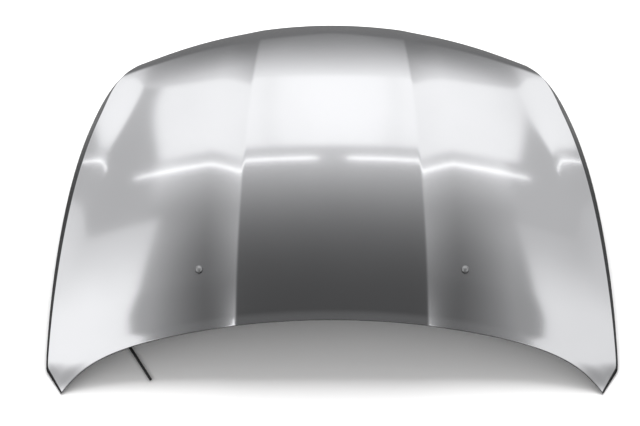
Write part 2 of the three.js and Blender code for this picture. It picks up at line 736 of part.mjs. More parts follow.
function tailRoute() {
  const exit = plan(EXIT_X, EXIT_Y).z;
  const rest = FLOOR + HOSE.outer + GAP;
  return TAIL_PLAN.map(([dx, dy, fall]) =>
    new THREE.Vector3(...fromExit([dx, dy]), Math.max(rest, exit - fall)));
}

// Clip: a flat foot against the web and a ring about the hose
function clip(curve, t) {
  const centre = curve.getPointAt(t);
  const tangent = curve.getTangentAt(t);
  const up = faceAbove(centre, alongZ).normal;
  up.addScaledVector(tangent, -up.dot(tangent)).normalize();
  const side = up.clone().cross(tangent).normalize();
  const radius = HOSE.outer + GAP + 0.15;
  const outer = radius + CLIP.wall;
  const corners = [[-1, -1], [-1, 1], [1, -1], [1, 1], [0, 0]].map(([a, b]) =>
    centre.clone().addScaledVector(side, a * outer).addScaledVector(tangent, b * CLIP.width / 2));
  const top = Math.min(...corners.map((point) => faceAbove(point, up).distance)) - GAP;
  const shape = new THREE.Shape();
  shape.moveTo(-outer, top);
  shape.lineTo(-outer, 0);
  shape.absarc(0, 0, outer, Math.PI, 2 * Math.PI, false);
  shape.lineTo(outer, top);
  shape.closePath();
  shape.holes.push(new THREE.Path().absarc(0, 0, radius / Math.cos(Math.PI / 12), 0, 2 * Math.PI));
  const block = new THREE.ExtrudeGeometry(shape, {
    depth: CLIP.width, bevelEnabled: false, curveSegments: 6,
  });
  block.translate(0, 0, -CLIP.width / 2);
  const matrix = new THREE.Matrix4().makeBasis(side, up, tangent).setPosition(centre);
  return block.applyMatrix4(matrix);
}

// Mastic pad between a bonding flange and the skin
function masticPad([x, y], angle) {
  const body = new Body();
  const count = 10;
  const loop = (depth) => Array.from({ length: count }, (_, i) => {
    const a = (2 * Math.PI * i) / count;
    const [p, q] = [(PAD.length / 2) * Math.cos(a), (PAD.width / 2) * Math.sin(a)];
    const px = x + p * Math.cos(angle) - q * Math.sin(angle);
    const py = y + p * Math.sin(angle) + q * Math.cos(angle);
    return body.add(below(...locate(px, py), depth));
  });
  const cap = (ring, reverse) => {
    const order = reverse ? [...ring].reverse() : ring;
    for (let i = 1; i < count - 1; i += 1) body.faces.push(order[0], order[i], order[i + 1]);
  };
  const [top, under] = [loop(PAD.top), loop(PAD.under)];
  cap(top, false);
  cap(under, true);
  body.band(top, under);
  return body.geometry();
}

// Pads sit beside a rib, at given parts of its length
function ribPads([from, to], parts) {
  const angle = Math.atan2(to[1] - from[1], to[0] - from[0]);
  const offset = RIB_WEB / 2 + WALL_RUN + BOND_WIDTH / 2;
  return parts.map(([part, hand]) => {
    const x = mix(from[0], to[0], part) - hand * offset * Math.sin(angle);
    const y = mix(from[1], to[1], part) + hand * offset * Math.cos(angle);
    return masticPad([x, y], angle);
  });
}

const PADS = [
  ...ribPads(DIAGONAL, [[0.64, 1], [0.78, 1], [0.86, -1]]),
  ...ribPads(mirrored(DIAGONAL), [[0.64, -1], [0.78, -1], [0.86, 1]]),
  ...ribPads(CROSS_RIB, [[0.2, 1], [0.8, 1], [0.5, 1]]),
  ...ribPads(REAR_RIB, [[0.4, -1]]),
  ...ribPads(mirrored(REAR_RIB), [[0.4, 1]]),
];

// Colours of the materials
const PAINT = { color: 0x9c9ea3, roughness: 0.3, metalness: 0.7 };
const INNER_PAINT = { color: 0x85888d, roughness: 0.45, metalness: 0.5 };
const STEEL = { color: 0xa8abad, roughness: 0.35, metalness: 1 };
const DARK_PLASTIC = { color: 0x1b1c1e, roughness: 0.55, metalness: 0 };
const JET_PLASTIC = { color: 0x2b2d30, roughness: 0.35, metalness: 0 };
const RUBBER = { color: 0x141414, roughness: 0.8, metalness: 0 };
const MASTIC = { color: 0x4a4843, roughness: 0.9, metalness: 0 };

const group = new THREE.Group();
group.name = 'car_bonnet';

function add(name, geometry, look) {
  const mesh = new THREE.Mesh(geometry, new THREE.MeshStandardMaterial(look));
  mesh.name = name;
  group.add(mesh);
}

const skinHoles = JETS.map(({ matrix }) => drumAt(matrix, 0, 0, JET.hole, -12, 8, 18));
const skin = cut(makeSkin(), ...skinHoles);
add('outer_skin', skin, PAINT);
add('inner_frame', frame, INNER_PAINT);

// Hinge plates with their weld nuts
const plateBottom = trayTop + GAP;
[TRAY_LEFT, TRAY_RIGHT].forEach((tray) => {
  const { width, length } = tray.size;
  add(`hinge_plate_${tray.name}`, plate(tray, width - 6, length - 8, plateBottom,
    plateBottom + PLATE, BOLT_HOLE), STEEL);
  boltPlaces(tray).forEach((place, k) => {
    const end = k ? 'front' : 'rear';
    add(`hinge_nut_${tray.name}_${end}`, weldNut(tray, place, plateBottom + PLATE + GAP), STEEL);
  });
});

// Latch plate, striker and their fasteners
const latchTop = plateBottom + PLATE;
const strikerTop = trayUnder - GAP;
const strikerUnder = strikerTop - 2.5;
const { width: latchWidth, length: latchLength } = LATCH_TRAY;
add('latch_plate', plate(TRAY_LATCH, latchWidth - 8, latchLength - 8, plateBottom, latchTop,
  BOLT.hole), STEEL);
add('striker_plate', plate(TRAY_LATCH, STRIKER.plateLength, STRIKER.plateWidth, strikerUnder,
  strikerTop, BOLT.hole), STEEL);
boltPlaces(TRAY_LATCH).forEach((place, k) => {
  const hand = k ? 'right' : 'left';
  add(`latch_nut_${hand}`, weldNut(TRAY_LATCH, place, latchTop + GAP), STEEL);
  add(`striker_bolt_${hand}`, flangeBolt(TRAY_LATCH, place, strikerUnder - GAP,
    latchTop + GAP + NUT.height + 2), STEEL);
});

function strikerLoop() {
  const half = STRIKER.span / 2;
  const top = strikerUnder - GAP;
  const bend = top - STRIKER.drop + half;
  const path = new THREE.CurvePath();
  const at = (x, z) => new THREE.Vector3(x, 0, z);
  const arc = Array.from({ length: 9 }, (_, i) => {
    const a = Math.PI + (Math.PI * i) / 8;
    return at(half * Math.cos(a), bend + half * Math.sin(a));
  });
  const stations = [at(-half, top), at(-half, (top + bend) / 2), ...arc,
    at(half, (top + bend) / 2), at(half, top)];
  path.add(new THREE.CatmullRomCurve3(stations, false, 'centripetal'));
  return placed(swept(path, STRIKER.rod, 18, 10), TRAY_LATCH.matrix);
}

add('striker_loop', strikerLoop(), STEEL);

// Washer jets, gaskets and hoses
JETS.forEach(({ name, matrix, nipple }) => {
  add(`washer_jet_${name}`, placed(jetBody(nipple), matrix), JET_PLASTIC);
  const ring = fuse(turned([[0, GAP], [9.4, GAP], [9.4, 1], [0, 1]], 18));
  add(`jet_gasket_${name}`, placed(cut(ring, drumAt(origin, 0, 0, JET.hole, -1, 2)), matrix),
    RUBBER);
});
add('hose_tee', teeBody(), DARK_PLASTIC);

const bridge = nippleRun(JET_LEFT.matrix, down, JET_LEFT.nipple, JET.stem + 2 * GAP);
const bridgeEnd = down.clone().addScaledVector(JET_LEFT.nipple, TEE.offset - hoseStart)
  .applyMatrix4(JET_LEFT.matrix);
const jetHose = hose([...bridge.slice(0, 3), bridgeEnd], 3);
const crossHose = hose(crossRoute(), 40);
const supplyHose = hose(supplyRoute(), 22, 16, 0);
const tail = hose(tailRoute(), 24, 0, 14);
add('hose_jet_left', jetHose.geometry, RUBBER);
add('hose_cross', crossHose.geometry, RUBBER);
add('hose_supply', supplyHose.geometry, RUBBER);
add('hose_tail', tail.geometry, RUBBER);
[[crossHose, 0.22], [crossHose, 0.46], [crossHose, 0.69], [supplyHose, 0.97]].forEach(
  ([{ curve }, t], k) => add(`hose_clip_${k + 1}`, clip(curve, t), DARK_PLASTIC));

// Rubber buffers under the side channels
[SIDE_LENGTH - 485.5, SIDE_LENGTH - 195.5].forEach((y) => [-1, 1].forEach((hand) => {
  const v = y / SIDE_LENGTH;
  const x = hand * (sideX(v) - flangeWidth(v) - WALL_RUN - RING_WEB.side / 2);
  const top = -1.5 * GAP;
  const buffer = turned([[0, top - BUFFER.height], [BUFFER.tip, top - BUFFER.height],
    [BUFFER.foot, top - BUFFER.neck], [BUFFER.foot, top], [0, top]], 16);
  const end = y < SIDE_LENGTH / 2 ? 'rear' : 'front';
  const name = `edge_buffer_${hand < 0 ? 'left' : 'right'}_${end}`;
  add(name, placed(buffer, webSeat(x, y)), RUBBER);
}));

PADS.forEach((geometry, k) => add(`mastic_pad_${k + 1}`, geometry, MASTIC));

// The origin goes to the middle of the outline, on the floor
skin.computeBoundingBox();
const shift = [0, -FRONT_EDGE_Y / 2, -skin.boundingBox.min.z];
group.children.forEach((mesh) => mesh.geometry.translate(...shift));

export default group;
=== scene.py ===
"""A car bonnet taken off its car, lying skin up on a white studio floor.

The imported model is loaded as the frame. The outer skin, washer jets, gaskets, hoses and
striker loop are modelled again here in finer form, and the other nodes keep their shape
and get their finish. Lengths are in millimetres up to the point where a mesh is written,
and the mesh itself is in metres.
"""
from __future__ import annotations

import logging
import math
from dataclasses import dataclass, field, replace
from enum import Enum
from typing import Any, Callable, Sequence

import bpy
import numpy as np
from mathutils import Matrix, Vector


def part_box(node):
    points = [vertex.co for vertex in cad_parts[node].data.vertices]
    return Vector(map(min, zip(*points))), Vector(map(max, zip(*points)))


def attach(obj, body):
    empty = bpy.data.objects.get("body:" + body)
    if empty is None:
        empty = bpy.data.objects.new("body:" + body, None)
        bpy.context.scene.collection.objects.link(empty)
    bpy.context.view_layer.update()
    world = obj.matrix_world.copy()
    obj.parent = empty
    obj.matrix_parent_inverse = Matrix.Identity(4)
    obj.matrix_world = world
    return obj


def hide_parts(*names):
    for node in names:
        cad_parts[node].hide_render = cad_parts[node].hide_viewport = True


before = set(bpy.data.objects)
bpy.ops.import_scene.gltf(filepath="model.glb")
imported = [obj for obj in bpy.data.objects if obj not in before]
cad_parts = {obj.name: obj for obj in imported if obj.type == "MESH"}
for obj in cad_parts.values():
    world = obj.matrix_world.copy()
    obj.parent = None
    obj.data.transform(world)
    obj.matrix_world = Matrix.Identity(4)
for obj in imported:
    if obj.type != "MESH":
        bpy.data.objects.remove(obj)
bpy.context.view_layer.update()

LOG = logging.getLogger("bonnet")
MM = 0.001
BODY = "root"
FRONT_EDGE = 1006.7
LACQUER_ROUGHNESS = 0.03


# Shader sheets


class Wire:
    """One output of a node sheet, with arithmetic that adds Math nodes."""

    def __init__(self, sheet: "Sheet", socket: Any) -> None:
        """Keeps the sheet and the socket."""
        self.sheet = sheet
        self.socket = socket

    def _math(self, operation: str, first: Any, second: Any = None) -> "Wire":
        """Adds one Math node.

        Args:
            operation: the node's operation.
            first: a wire or a number.
            second: a wire or a number, or None where the operation has one input.

        Returns:
            The result as a wire.
        """
        inputs = {0: first} if second is None else {0: first, 1: second}
        return self.sheet.node("ShaderNodeMath", {"operation": operation}, inputs)

    def __add__(self, other: Any) -> "Wire":
        """Sum."""
        return self._math("ADD", self, other)

    __radd__ = __add__

    def __sub__(self, other: Any) -> "Wire":
        """Difference."""
        return self._math("SUBTRACT", self, other)

    def __rsub__(self, other: Any) -> "Wire":
        """Difference from a number."""
        return self._math("SUBTRACT", other, self)

    def __mul__(self, other: Any) -> "Wire":
        """Product."""
        return self._math("MULTIPLY", self, other)

    __rmul__ = __mul__

    def __pow__(self, other: float) -> "Wire":
        """Power."""
        return self._math("POWER", self, other)

    def mixed(self, other: Any, share: "Wire") -> "Wire":
        """This value where share is 0 and the other where it is 1."""
        return self + (other - self) * share

    def size(self) -> "Wire":
        """Absolute value."""
        return self._math("ABSOLUTE", self)

    def angle(self, other: "Wire") -> "Wire":
        """Angle of (self, other) in degrees, from the arc tangent."""
        return self._math("ARCTAN2", self, other) * math.degrees(1.0)

    def _range(self, kind: str, low: float, high: float) -> "Wire":
        """Maps low to 0 and high to 1."""
        return self.sheet.node("ShaderNodeMapRange", {"interpolation_type": kind}, {
            "Value": self, "From Min": low, "From Max": high, "To Min": 0.0, "To Max": 1.0})

    def step(self, low: float, high: float) -> "Wire":
        """Smooth step that is 0 at low and 1 at high; low may be the larger."""
        return self._range("SMOOTHSTEP", low, high)

    def ramp(self, low: float, high: float) -> "Wire":
        """Straight ramp that is 0 at low and 1 at high; low may be the larger."""
        return self._range("LINEAR", low, high)

    def window(self, low: float, high: float, soft: float) -> "Wire":
        """Smooth window that is 1 between low and high and fades over soft at both ends."""
        return self.step(low - soft, low + soft) * self.step(high + soft, high - soft)


class Sheet:
    """A node tree that is written as Python expressions."""

    def __init__(self, tree: bpy.types.NodeTree) -> None:
        """Clears the tree."""
        self.tree = tree
        tree.nodes.clear()

    def node(self, kind: str, settings: dict[str, Any], inputs: dict[Any, Any],
             output: Any = 0) -> Wire:
        """Adds a node, sets it, and feeds its sockets.

        Args:
            kind: the node's type.
            settings: attributes that are set first.
            inputs: a value or a wire for each socket, by name or number.
            output: name or number of the output that is returned.

        Returns:
            The chosen output, or the first one.
        """
        made = self.tree.nodes.new(kind)
        for name, value in settings.items():
            setattr(made, name, value)
        for name, value in inputs.items():
            if isinstance(value, Wire):
                self.tree.links.new(value.socket, made.inputs[name])
            else:
                made.inputs[name].default_value = value
        return Wire(self, made.outputs[output] if len(made.outputs) else None)

    def place(self) -> Wire:
        """Object coordinates, in metres."""
        return self.node("ShaderNodeTexCoord", {}, {}, "Object")

    def stretched(self, scale: Sequence[float]) -> Wire:
        """Object coordinates scaled by axis."""
        return self.node("ShaderNodeMapping", {}, {"Vector": self.place(), "Scale": scale})

    def noise(self, scale: float, detail: float = 2.0, rough: float = 0.5,
              at: Wire | None = None) -> Wire:
        """Noise from 0 to 1 with a scale in waves per metre."""
        return self.node("ShaderNodeTexNoise", {}, {
            "Vector": at or self.place(), "Scale": scale, "Detail": detail,
            "Roughness": rough}, "Fac")

    def cells(self, scale: float, output: str = "Distance") -> Wire:
        """Voronoi cells with a scale in cells per metre."""
        return self.node("ShaderNodeTexVoronoi", {}, {
            "Vector": self.place(), "Scale": scale}, output)

    def blend(self, factor: Any, first: Any, second: Any) -> Wire:
        """Mixes two colours by a factor."""
        return self.node("ShaderNodeMix", {"data_type": "RGBA", "clamp_factor": True}, {
            0: factor, 6: first, 7: second}, 2)

    def bump(self, height: Wire, strength: float, depth: float) -> Wire:
        """Bump from a height wire, with its depth in metres."""
        return self.node("ShaderNodeBump", {}, {
            "Height": height, "Strength": strength, "Distance": depth})


@dataclass(frozen=True)
class Finish:
    """A material with one Principled shader. Subclasses write what varies over it."""

    name: str
    colour: tuple[float, float, float]
    metallic: float = 0.0
    roughness: float = 0.5
    coat: float = 0.0

    def material(self) -> bpy.types.Material:
        """Makes the material once.

        Returns:
            The material, the same one each time.
        """
        known = bpy.data.materials.get(f"{self.name}_finish")
        if known:
            return known
        made = bpy.data.materials.new(f"{self.name}_finish")
        made.use_nodes = True
        made.diffuse_color = (*self.colour, 1.0)
        sheet = Sheet(made.node_tree)
        inputs: dict[str, Any] = {
            "Base Color": (*self.colour, 1.0), "Metallic": self.metallic,
            "Roughness": self.roughness, "Coat Weight": self.coat,
            "Coat Roughness": LACQUER_ROUGHNESS}
        inputs.update(self.detail(sheet))
        shader = sheet.node("ShaderNodeBsdfPrincipled", {}, inputs)
        sheet.node("ShaderNodeOutputMaterial", {}, {"Surface": shader})
        return made

    def detail(self, sheet: Sheet) -> dict[str, Any]:
        """Sockets that vary over the surface."""
        return {}

    def tone(self, factor: float) -> tuple[float, float, float, float]:
        """The colour made lighter or darker."""
        return (*(min(1.0, value * factor) for value in self.colour), 1.0)


@dataclass(frozen=True)
class BodyPaint(Finish):
    """Silver base coat with fine flake under clear lacquer."""

    def detail(self, sheet: Sheet) -> dict[str, Any]:
        """Flake, slow clouds of the spray, orange peel and a few hairline swirls.

        Args:
            sheet: the material's node sheet.

        Returns:
            What feeds each socket that varies.
        """
        flake = sheet.cells(1900.0, "Color")
        grain = sheet.noise(900.0, 1.0)
        cloud = sheet.noise(3.0, 2.0)
        colour = sheet.blend(cloud.step(0.3, 0.7), self.tone(0.96), self.tone(1.03))
        colour = sheet.blend(sheet.node("ShaderNodeSeparateColor", {}, {0: flake}) * 0.22,
                             colour, self.tone(1.25))
        swirl = sheet.noise(60.0, 5.0, 0.7, sheet.stretched((1.0, 4.0, 1.0)))
        rough = self.roughness + (grain - 0.5) * 0.03 + (swirl - 0.5) * 0.03
        peel = sheet.noise(170.0, 2.0) * 0.7 + grain * 0.3
        return {"Base Color": colour, "Roughness": rough,
                "Normal": sheet.bump(peel, 0.05, 0.0003)}


@dataclass(frozen=True)
class FramePaint(Finish):
    """Primer with thin overspray of the body colour on pressed steel."""

    def detail(self, sheet: Sheet) -> dict[str, Any]:
        """Overspray, dust in the hollows, spot marks and the waviness of the pressing.

        Args:
            sheet: the material's node sheet.

        Returns:
            What feeds each socket that varies.
        """
        spray = sheet.noise(5.0, 3.0, 0.6).step(0.35, 0.68)
        colour = sheet.blend(spray, self.tone(0.78), self.tone(1.12))
        dust = sheet.noise(26.0, 6.0, 0.68).step(0.52, 0.78)
        colour = sheet.blend(dust * 0.28, colour, (0.34, 0.32, 0.28, 1.0))
        spots = sheet.cells(24.0).step(0.11, 0.07)
        colour = sheet.blend(spots * 0.35, colour, self.tone(0.6))
        height = sheet.noise(38.0, 2.0) * 0.5 + sheet.noise(420.0, 2.0) * 0.08 - spots * 0.35
        rough = self.roughness + dust * 0.25 + (spray - 0.5) * 0.08
        return {"Base Color": colour, "Roughness": rough,
                "Normal": sheet.bump(height, 0.45, 0.0009)}


@dataclass(frozen=True)
class PlatedSteel(Finish):
    """Zinc plate with a yellowish passivate, rolled marks and spangle."""

    def detail(self, sheet: Sheet) -> dict[str, Any]:
        """Spangle cells, tint, rolling marks and handling stains.

        Args:
            sheet: the material's node sheet.

        Returns:
            What feeds each socket that varies.
        """
        spangle = sheet.node("ShaderNodeSeparateColor", {}, {0: sheet.cells(420.0, "Color")})
        colour = sheet.blend(spangle, self.tone(0.82), self.tone(1.12))
        tint = sheet.noise(55.0, 4.0, 0.6).step(0.4, 0.72)
        colour = sheet.blend(tint * 0.55, colour, (0.60, 0.52, 0.34, 1.0))
        rolled = sheet.noise(240.0, 3.0, 0.6, sheet.stretched((1.0, 14.0, 1.0)))
        stain = sheet.noise(90.0, 5.0, 0.7).step(0.58, 0.75)
        rough = self.roughness + (spangle - 0.5) * 0.14 + stain * 0.25
        return {"Base Color": sheet.blend(stain * 0.3, colour, self.tone(0.45)),
                "Roughness": rough,
                "Normal": sheet.bump(rolled + spangle * 0.3, 0.3, 0.0003)}


@dataclass(frozen=True)
class Moulded(Finish):
    """Moulded plastic with spark grain, or rubber where it is rough and dusty."""

    grain: float = 1400.0
    dust: float = 0.12

    def detail(self, sheet: Sheet) -> dict[str, Any]:
        """Grain, flow clouds, fine scratches and settled dust.

        Args:
            sheet: the material's node sheet.

        Returns:
            What feeds each socket that varies.
        """
        grain = sheet.noise(self.grain, 2.0, 0.6)
        cloud = sheet.noise(40.0, 3.0)
        dust = sheet.noise(130.0, 6.0, 0.72).step(0.5, 0.8)
        scratch = sheet.noise(500.0, 3.0, 0.7, sheet.stretched((9.0, 1.0, 1.0)))
        colour = sheet.blend(cloud, self.tone(0.8), self.tone(1.3))
        colour = sheet.blend(dust * self.dust, colour, (0.30, 0.29, 0.27, 1.0))
        rough = self.roughness + (cloud - 0.5) * 0.12 + dust * self.dust
        return {"Base Color": colour, "Roughness": rough,
                "Normal": sheet.bump(grain + scratch * 0.4, 0.35, 0.00025)}


@dataclass(frozen=True)
class Putty(Finish):
    """Gun-applied mastic with a skin, pits and pressed edges."""

    def detail(self, sheet: Sheet) -> dict[str, Any]:
        """Lumps and pits, with the colour lighter where the lumps stand higher.

        Args:
            sheet: the material's node sheet.

        Returns:
            What feeds each socket that varies.
        """
        lump = sheet.noise(150.0, 4.0, 0.6)
        pits = sheet.cells(700.0).step(0.25, 0.6)
        # The colour follows the height of the lumps: lighter where they stand higher, darker
        # between them.
        colour = sheet.blend(lump, self.tone(0.75), self.tone(1.3))
        return {"Base Color": colour, "Roughness": self.roughness + (lump - 0.5) * 0.15,
                "Normal": sheet.bump(lump * 0.8 + pits * 0.2, 0.7, 0.0012)}


class Finishes(Enum):
    """The finishes of the bonnet, by the record's slots."""

    BODY_PAINT = BodyPaint("body_paint", (0.45, 0.455, 0.47), 0.96, 0.10, 1.0)
    INNER_PAINT = FramePaint("inner_paint", (0.36, 0.365, 0.38), 0.45, 0.46)
    ZINC = PlatedSteel("zinc_steel", (0.56, 0.57, 0.58), 0.95, 0.34)
    JET = Moulded("jet_plastic", (0.17, 0.172, 0.176), 0.40, 0.22, 0.4, 1700.0, 0.08)
    PLASTIC = Moulded("black_plastic", (0.022, 0.022, 0.024), 0.0, 0.52, 0.0, 1100.0, 0.14)
    RUBBER = Moulded("rubber", (0.016, 0.016, 0.017), 0.0, 0.62, 0.0, 900.0, 0.22)
    MASTIC = Putty("mastic", (0.09, 0.085, 0.08), 0.0, 0.78)


# Mesh tools


def deselect() -> None:
    """Leaves nothing selected."""
    bpy.ops.object.select_all(action="DESELECT")


def pick(obj: bpy.types.Object) -> None:
    """Selects one object alone and makes it active."""
    deselect()
    bpy.context.view_layer.objects.active = obj
    obj.select_set(True)


def edit(obj: bpy.types.Object, *actions: Callable[[], Any]) -> None:
    """Runs operators on all of a mesh in edit mode.

    Args:
        obj: the mesh object.
        actions: calls that act on the selected vertices.
    """
    pick(obj)
    bpy.ops.object.mode_set(mode="EDIT")
    bpy.ops.mesh.select_all(action="SELECT")
    for action in actions:
        action()
    bpy.ops.object.mode_set(mode="OBJECT")


def tidy_mesh(obj: bpy.types.Object, merge: float = 2e-6) -> None:
    """Merges doubles, drops collapsed faces and turns all faces outwards.

    Args:
        obj: the mesh object.
        merge: distance in metres up to which points merge.
    """
    edit(obj,
         lambda: bpy.ops.mesh.remove_doubles(threshold=merge),
         lambda: bpy.ops.mesh.dissolve_degenerate(threshold=1e-7),
         lambda: bpy.ops.mesh.select_all(action="SELECT"),
         lambda: bpy.ops.mesh.normals_make_consistent(inside=False))


def lay_grid(name: str, points: np.ndarray) -> bpy.types.Object:
    """Adds a grid and lays it on a table of points.

    Args:
        name: the object's name.
        points: rows by columns by three, in metres.

    Returns:
        The grid object, with its place in its mesh.
    """
    rows, columns, _ = points.shape
    deselect()
    bpy.ops.mesh.primitive_grid_add(x_subdivisions=columns - 1, y_subdivisions=rows - 1, size=1)
    obj = bpy.context.object
    obj.name = name
    obj.data.name = name
    if len(obj.data.vertices) != rows * columns:
        raise ValueError(f"{name}: the grid has {len(obj.data.vertices)} vertices")
    obj.data.vertices.foreach_set("co", points.astype(np.float32).ravel())
    obj.data.update()
    return obj


def join(name: str, parts: Sequence[bpy.types.Object]) -> bpy.types.Object:
    """Joins objects into the first one.

    Args:
        name: the name of the result.
        parts: the objects.

    Returns:
        The joined object.
    """
    deselect()
    for part in parts:
        part.select_set(True)
    bpy.context.view_layer.objects.active = parts[0]
    if len(parts) > 1:
        bpy.ops.object.join()
    parts[0].name = name
    parts[0].data.name = name
    return parts[0]


def apply_modifier(obj: bpy.types.Object, kind: str, **settings: Any) -> None:
    """Adds a modifier, sets it and applies it.

    Args:
        obj: the mesh object.
        kind: the modifier's type.
        settings: its attributes.
    """
    pick(obj)
    modifier = obj.modifiers.new(kind.lower(), kind)
    for name, value in settings.items():
        setattr(modifier, name, value)
    bpy.ops.object.modifier_apply(modifier=modifier.name)


def shade(obj: bpy.types.Object, angle: float) -> None:
    """Shades a mesh smooth, up to an angle in degrees."""
    pick(obj)
    bpy.ops.object.shade_smooth_by_angle(angle=math.radians(angle))


def carve(obj: bpy.types.Object, *tools: bpy.types.Object) -> None:
    """Cuts tools out of a mesh and deletes them."""
    for tool in tools:
        apply_modifier(obj, "BOOLEAN", operation="DIFFERENCE", solver="EXACT", object=tool)
        bpy.data.objects.remove(tool, do_unlink=True)


def turn(name: str, profile: Sequence[tuple[float, float]], sides: int,
         seat: Matrix) -> bpy.types.Object:
    """Turns a closed body about an axis, by extruding and scaling a circle.

    Args:
        name: the object's name.
        profile: (radius, height) pairs in mm from the bottom up, radii above 0.
        sides: faces round the axis.
        seat: where the axis stands, in metres.

    Returns:
        The body, capped at both ends.
    """
    deselect()
    radius, level = profile[0]
    bpy.ops.mesh.primitive_circle_add(vertices=sides, radius=radius * MM, fill_type="NGON",
                                      location=(0, 0, level * MM))
    obj = bpy.context.object
    bpy.ops.object.transform_apply(location=True, rotation=True, scale=True)
    bpy.ops.object.mode_set(mode="EDIT")
    bpy.ops.mesh.select_all(action="SELECT")
    for next_radius, next_level in profile[1:]:
        bpy.ops.mesh.extrude_region_move(TRANSFORM_OT_translate={
            "value": (0, 0, (next_level - level) * MM)})
        ratio = next_radius / radius
        bpy.ops.transform.resize(value=(ratio, ratio, 1.0),
                                 center_override=(0, 0, next_level * MM))
        radius, level = next_radius, next_level
    bpy.ops.object.mode_set(mode="OBJECT")
    obj.name = name
    obj.data.transform(seat)
    tidy_mesh(obj)
    return obj


def rod(name: str, route: np.ndarray, radius: float, sides: int = 24,
        ends: tuple[float, float] = (0.0, 0.0), bore: float = 2.1) -> bpy.types.Object:
    """Sweeps a round rod or hose along a route.

    Args:
        name: the object's name.
        route: points along the centre line, in metres.
        radius: outer radius in mm.
        sides: faces round the rod.
        ends: depth in mm to which each end is bored, or 0 for a closed end.
        bore: radius of the bore in mm.

    Returns:
        The closed rod, with a UV map that runs round and along it.
    """
    steps = np.linalg.norm(np.diff(route, axis=0), axis=1)
    along = np.concatenate([[0.0], np.cumsum(steps)])
    total = float(along[-1])
    tangents = np.gradient(route, along, axis=0)
    tangents /= np.linalg.norm(tangents, axis=1)[:, None]
    side = np.cross(tangents[0], (0.0, 0.0, 1.0))
    sides_list = []
    for tangent in tangents:
        side = side - tangent * float(np.dot(side, tangent))
        side /= np.linalg.norm(side)
        sides_list.append(side.copy())
    across = np.array(sides_list)
    lift = np.cross(tangents, across)
    edge, tip = 0.35, 0.001    # rounding of the ends and width of their middle, in mm

    def section(place: float, reach: float) -> np.ndarray:
        """One ring of points at a place along the route."""
        middle, first, second = (
            np.array([np.interp(place, along, table[:, k]) for k in range(3)])
            for table in (route, across, lift))
        turns = np.linspace(0.0, 2.0 * math.pi, sides + 1)
        ring = np.outer(np.cos(turns), first) + np.outer(np.sin(turns), second)
        return middle + ring * reach * MM

    def end(depth: float) -> list[tuple[float, float]]:
        """An end from its middle outwards, as (way in from the end, radius) in mm."""
        bored = [(depth, tip), (depth, bore), (edge, bore), (0.0, bore + edge)]
        return (bored if depth else [(0.0, tip)]) + [(0.0, radius - edge), (edge, radius)]

    inner = [float(place) for place in along
             if 2 * edge * MM < place < total - 2 * edge * MM]
    marks = [(way * MM, reach) for way, reach in end(ends[0])]
    marks += [(place, radius) for place in inner]
    marks += [(total - way * MM, reach) for way, reach in reversed(end(ends[1]))]
    obj = lay_grid(name, np.array([section(place, reach) for place, reach in marks]))
    tidy_mesh(obj, 3e-6)
    shade(obj, 50)
    return obj


def catmull_rom(points: np.ndarray, count: int) -> np.ndarray:
    """Runs a centripetal Catmull-Rom curve through points.

    Args:
        points: the points, in metres.
        count: places on each span.

    Returns:
        Points along the curve.
    """
    ends = np.vstack([2 * points[0] - points[1], points, 2 * points[-1] - points[-2]])
    made = []
    for a, b, c, d in zip(ends[:-3], ends[1:-2], ends[2:-1], ends[3:]):
        k1 = np.linalg.norm(b - a) ** 0.5
        k2 = k1 + np.linalg.norm(c - b) ** 0.5
        k3 = k2 + np.linalg.norm(d - c) ** 0.5
        for t in np.linspace(k1, k2, count, endpoint=False):
            a1 = (k1 - t) / k1 * a + t / k1 * b
            a2 = (k2 - t) / (k2 - k1) * b + (t - k1) / (k2 - k1) * c
            a3 = (k3 - t) / (k3 - k2) * c + (t - k2) / (k3 - k2) * d
            b1 = (k2 - t) / k2 * a1 + t / k2 * a2
            b2 = (k3 - t) / (k3 - k1) * a2 + (t - k1) / (k3 - k1) * a3
            made.append((k2 - t) / (k2 - k1) * b1 + (t - k1) / (k2 - k1) * b2)
    made.append(points[-1])
    return np.array(made)


def finish_piece(obj: bpy.types.Object, finish: Finishes, *nodes: str) -> bpy.types.Object:
    """Dresses a piece, puts it on the body and lets it stand for CAD nodes.

    Args:
        obj: the piece.
        finish: its finish, which is also its slot in the record.
        nodes: the CAD nodes that it replaces.

    Returns:
        The piece.
    """
    obj.data.materials.clear()
    obj.data.materials.append(finish.value.material())
    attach(obj, BODY)
    if nodes:
        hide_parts(*nodes)
    LOG.info("piece %s: %d faces, stands for %s", obj.name, len(obj.data.polygons),
             ", ".join(nodes) or "nothing")
    return obj


# Form of the skin


def smooth(t: np.ndarray) -> np.ndarray:
    """Smooth step from 0 to 1."""
    t = np.clip(t, 0.0, 1.0)
    return t * t * (3.0 - 2.0 * t)


def soft_ramp(t: np.ndarray, width: float) -> np.ndarray:
    """A ramp that starts softly at 0."""
    return width * np.logaddexp(0.0, t / width)


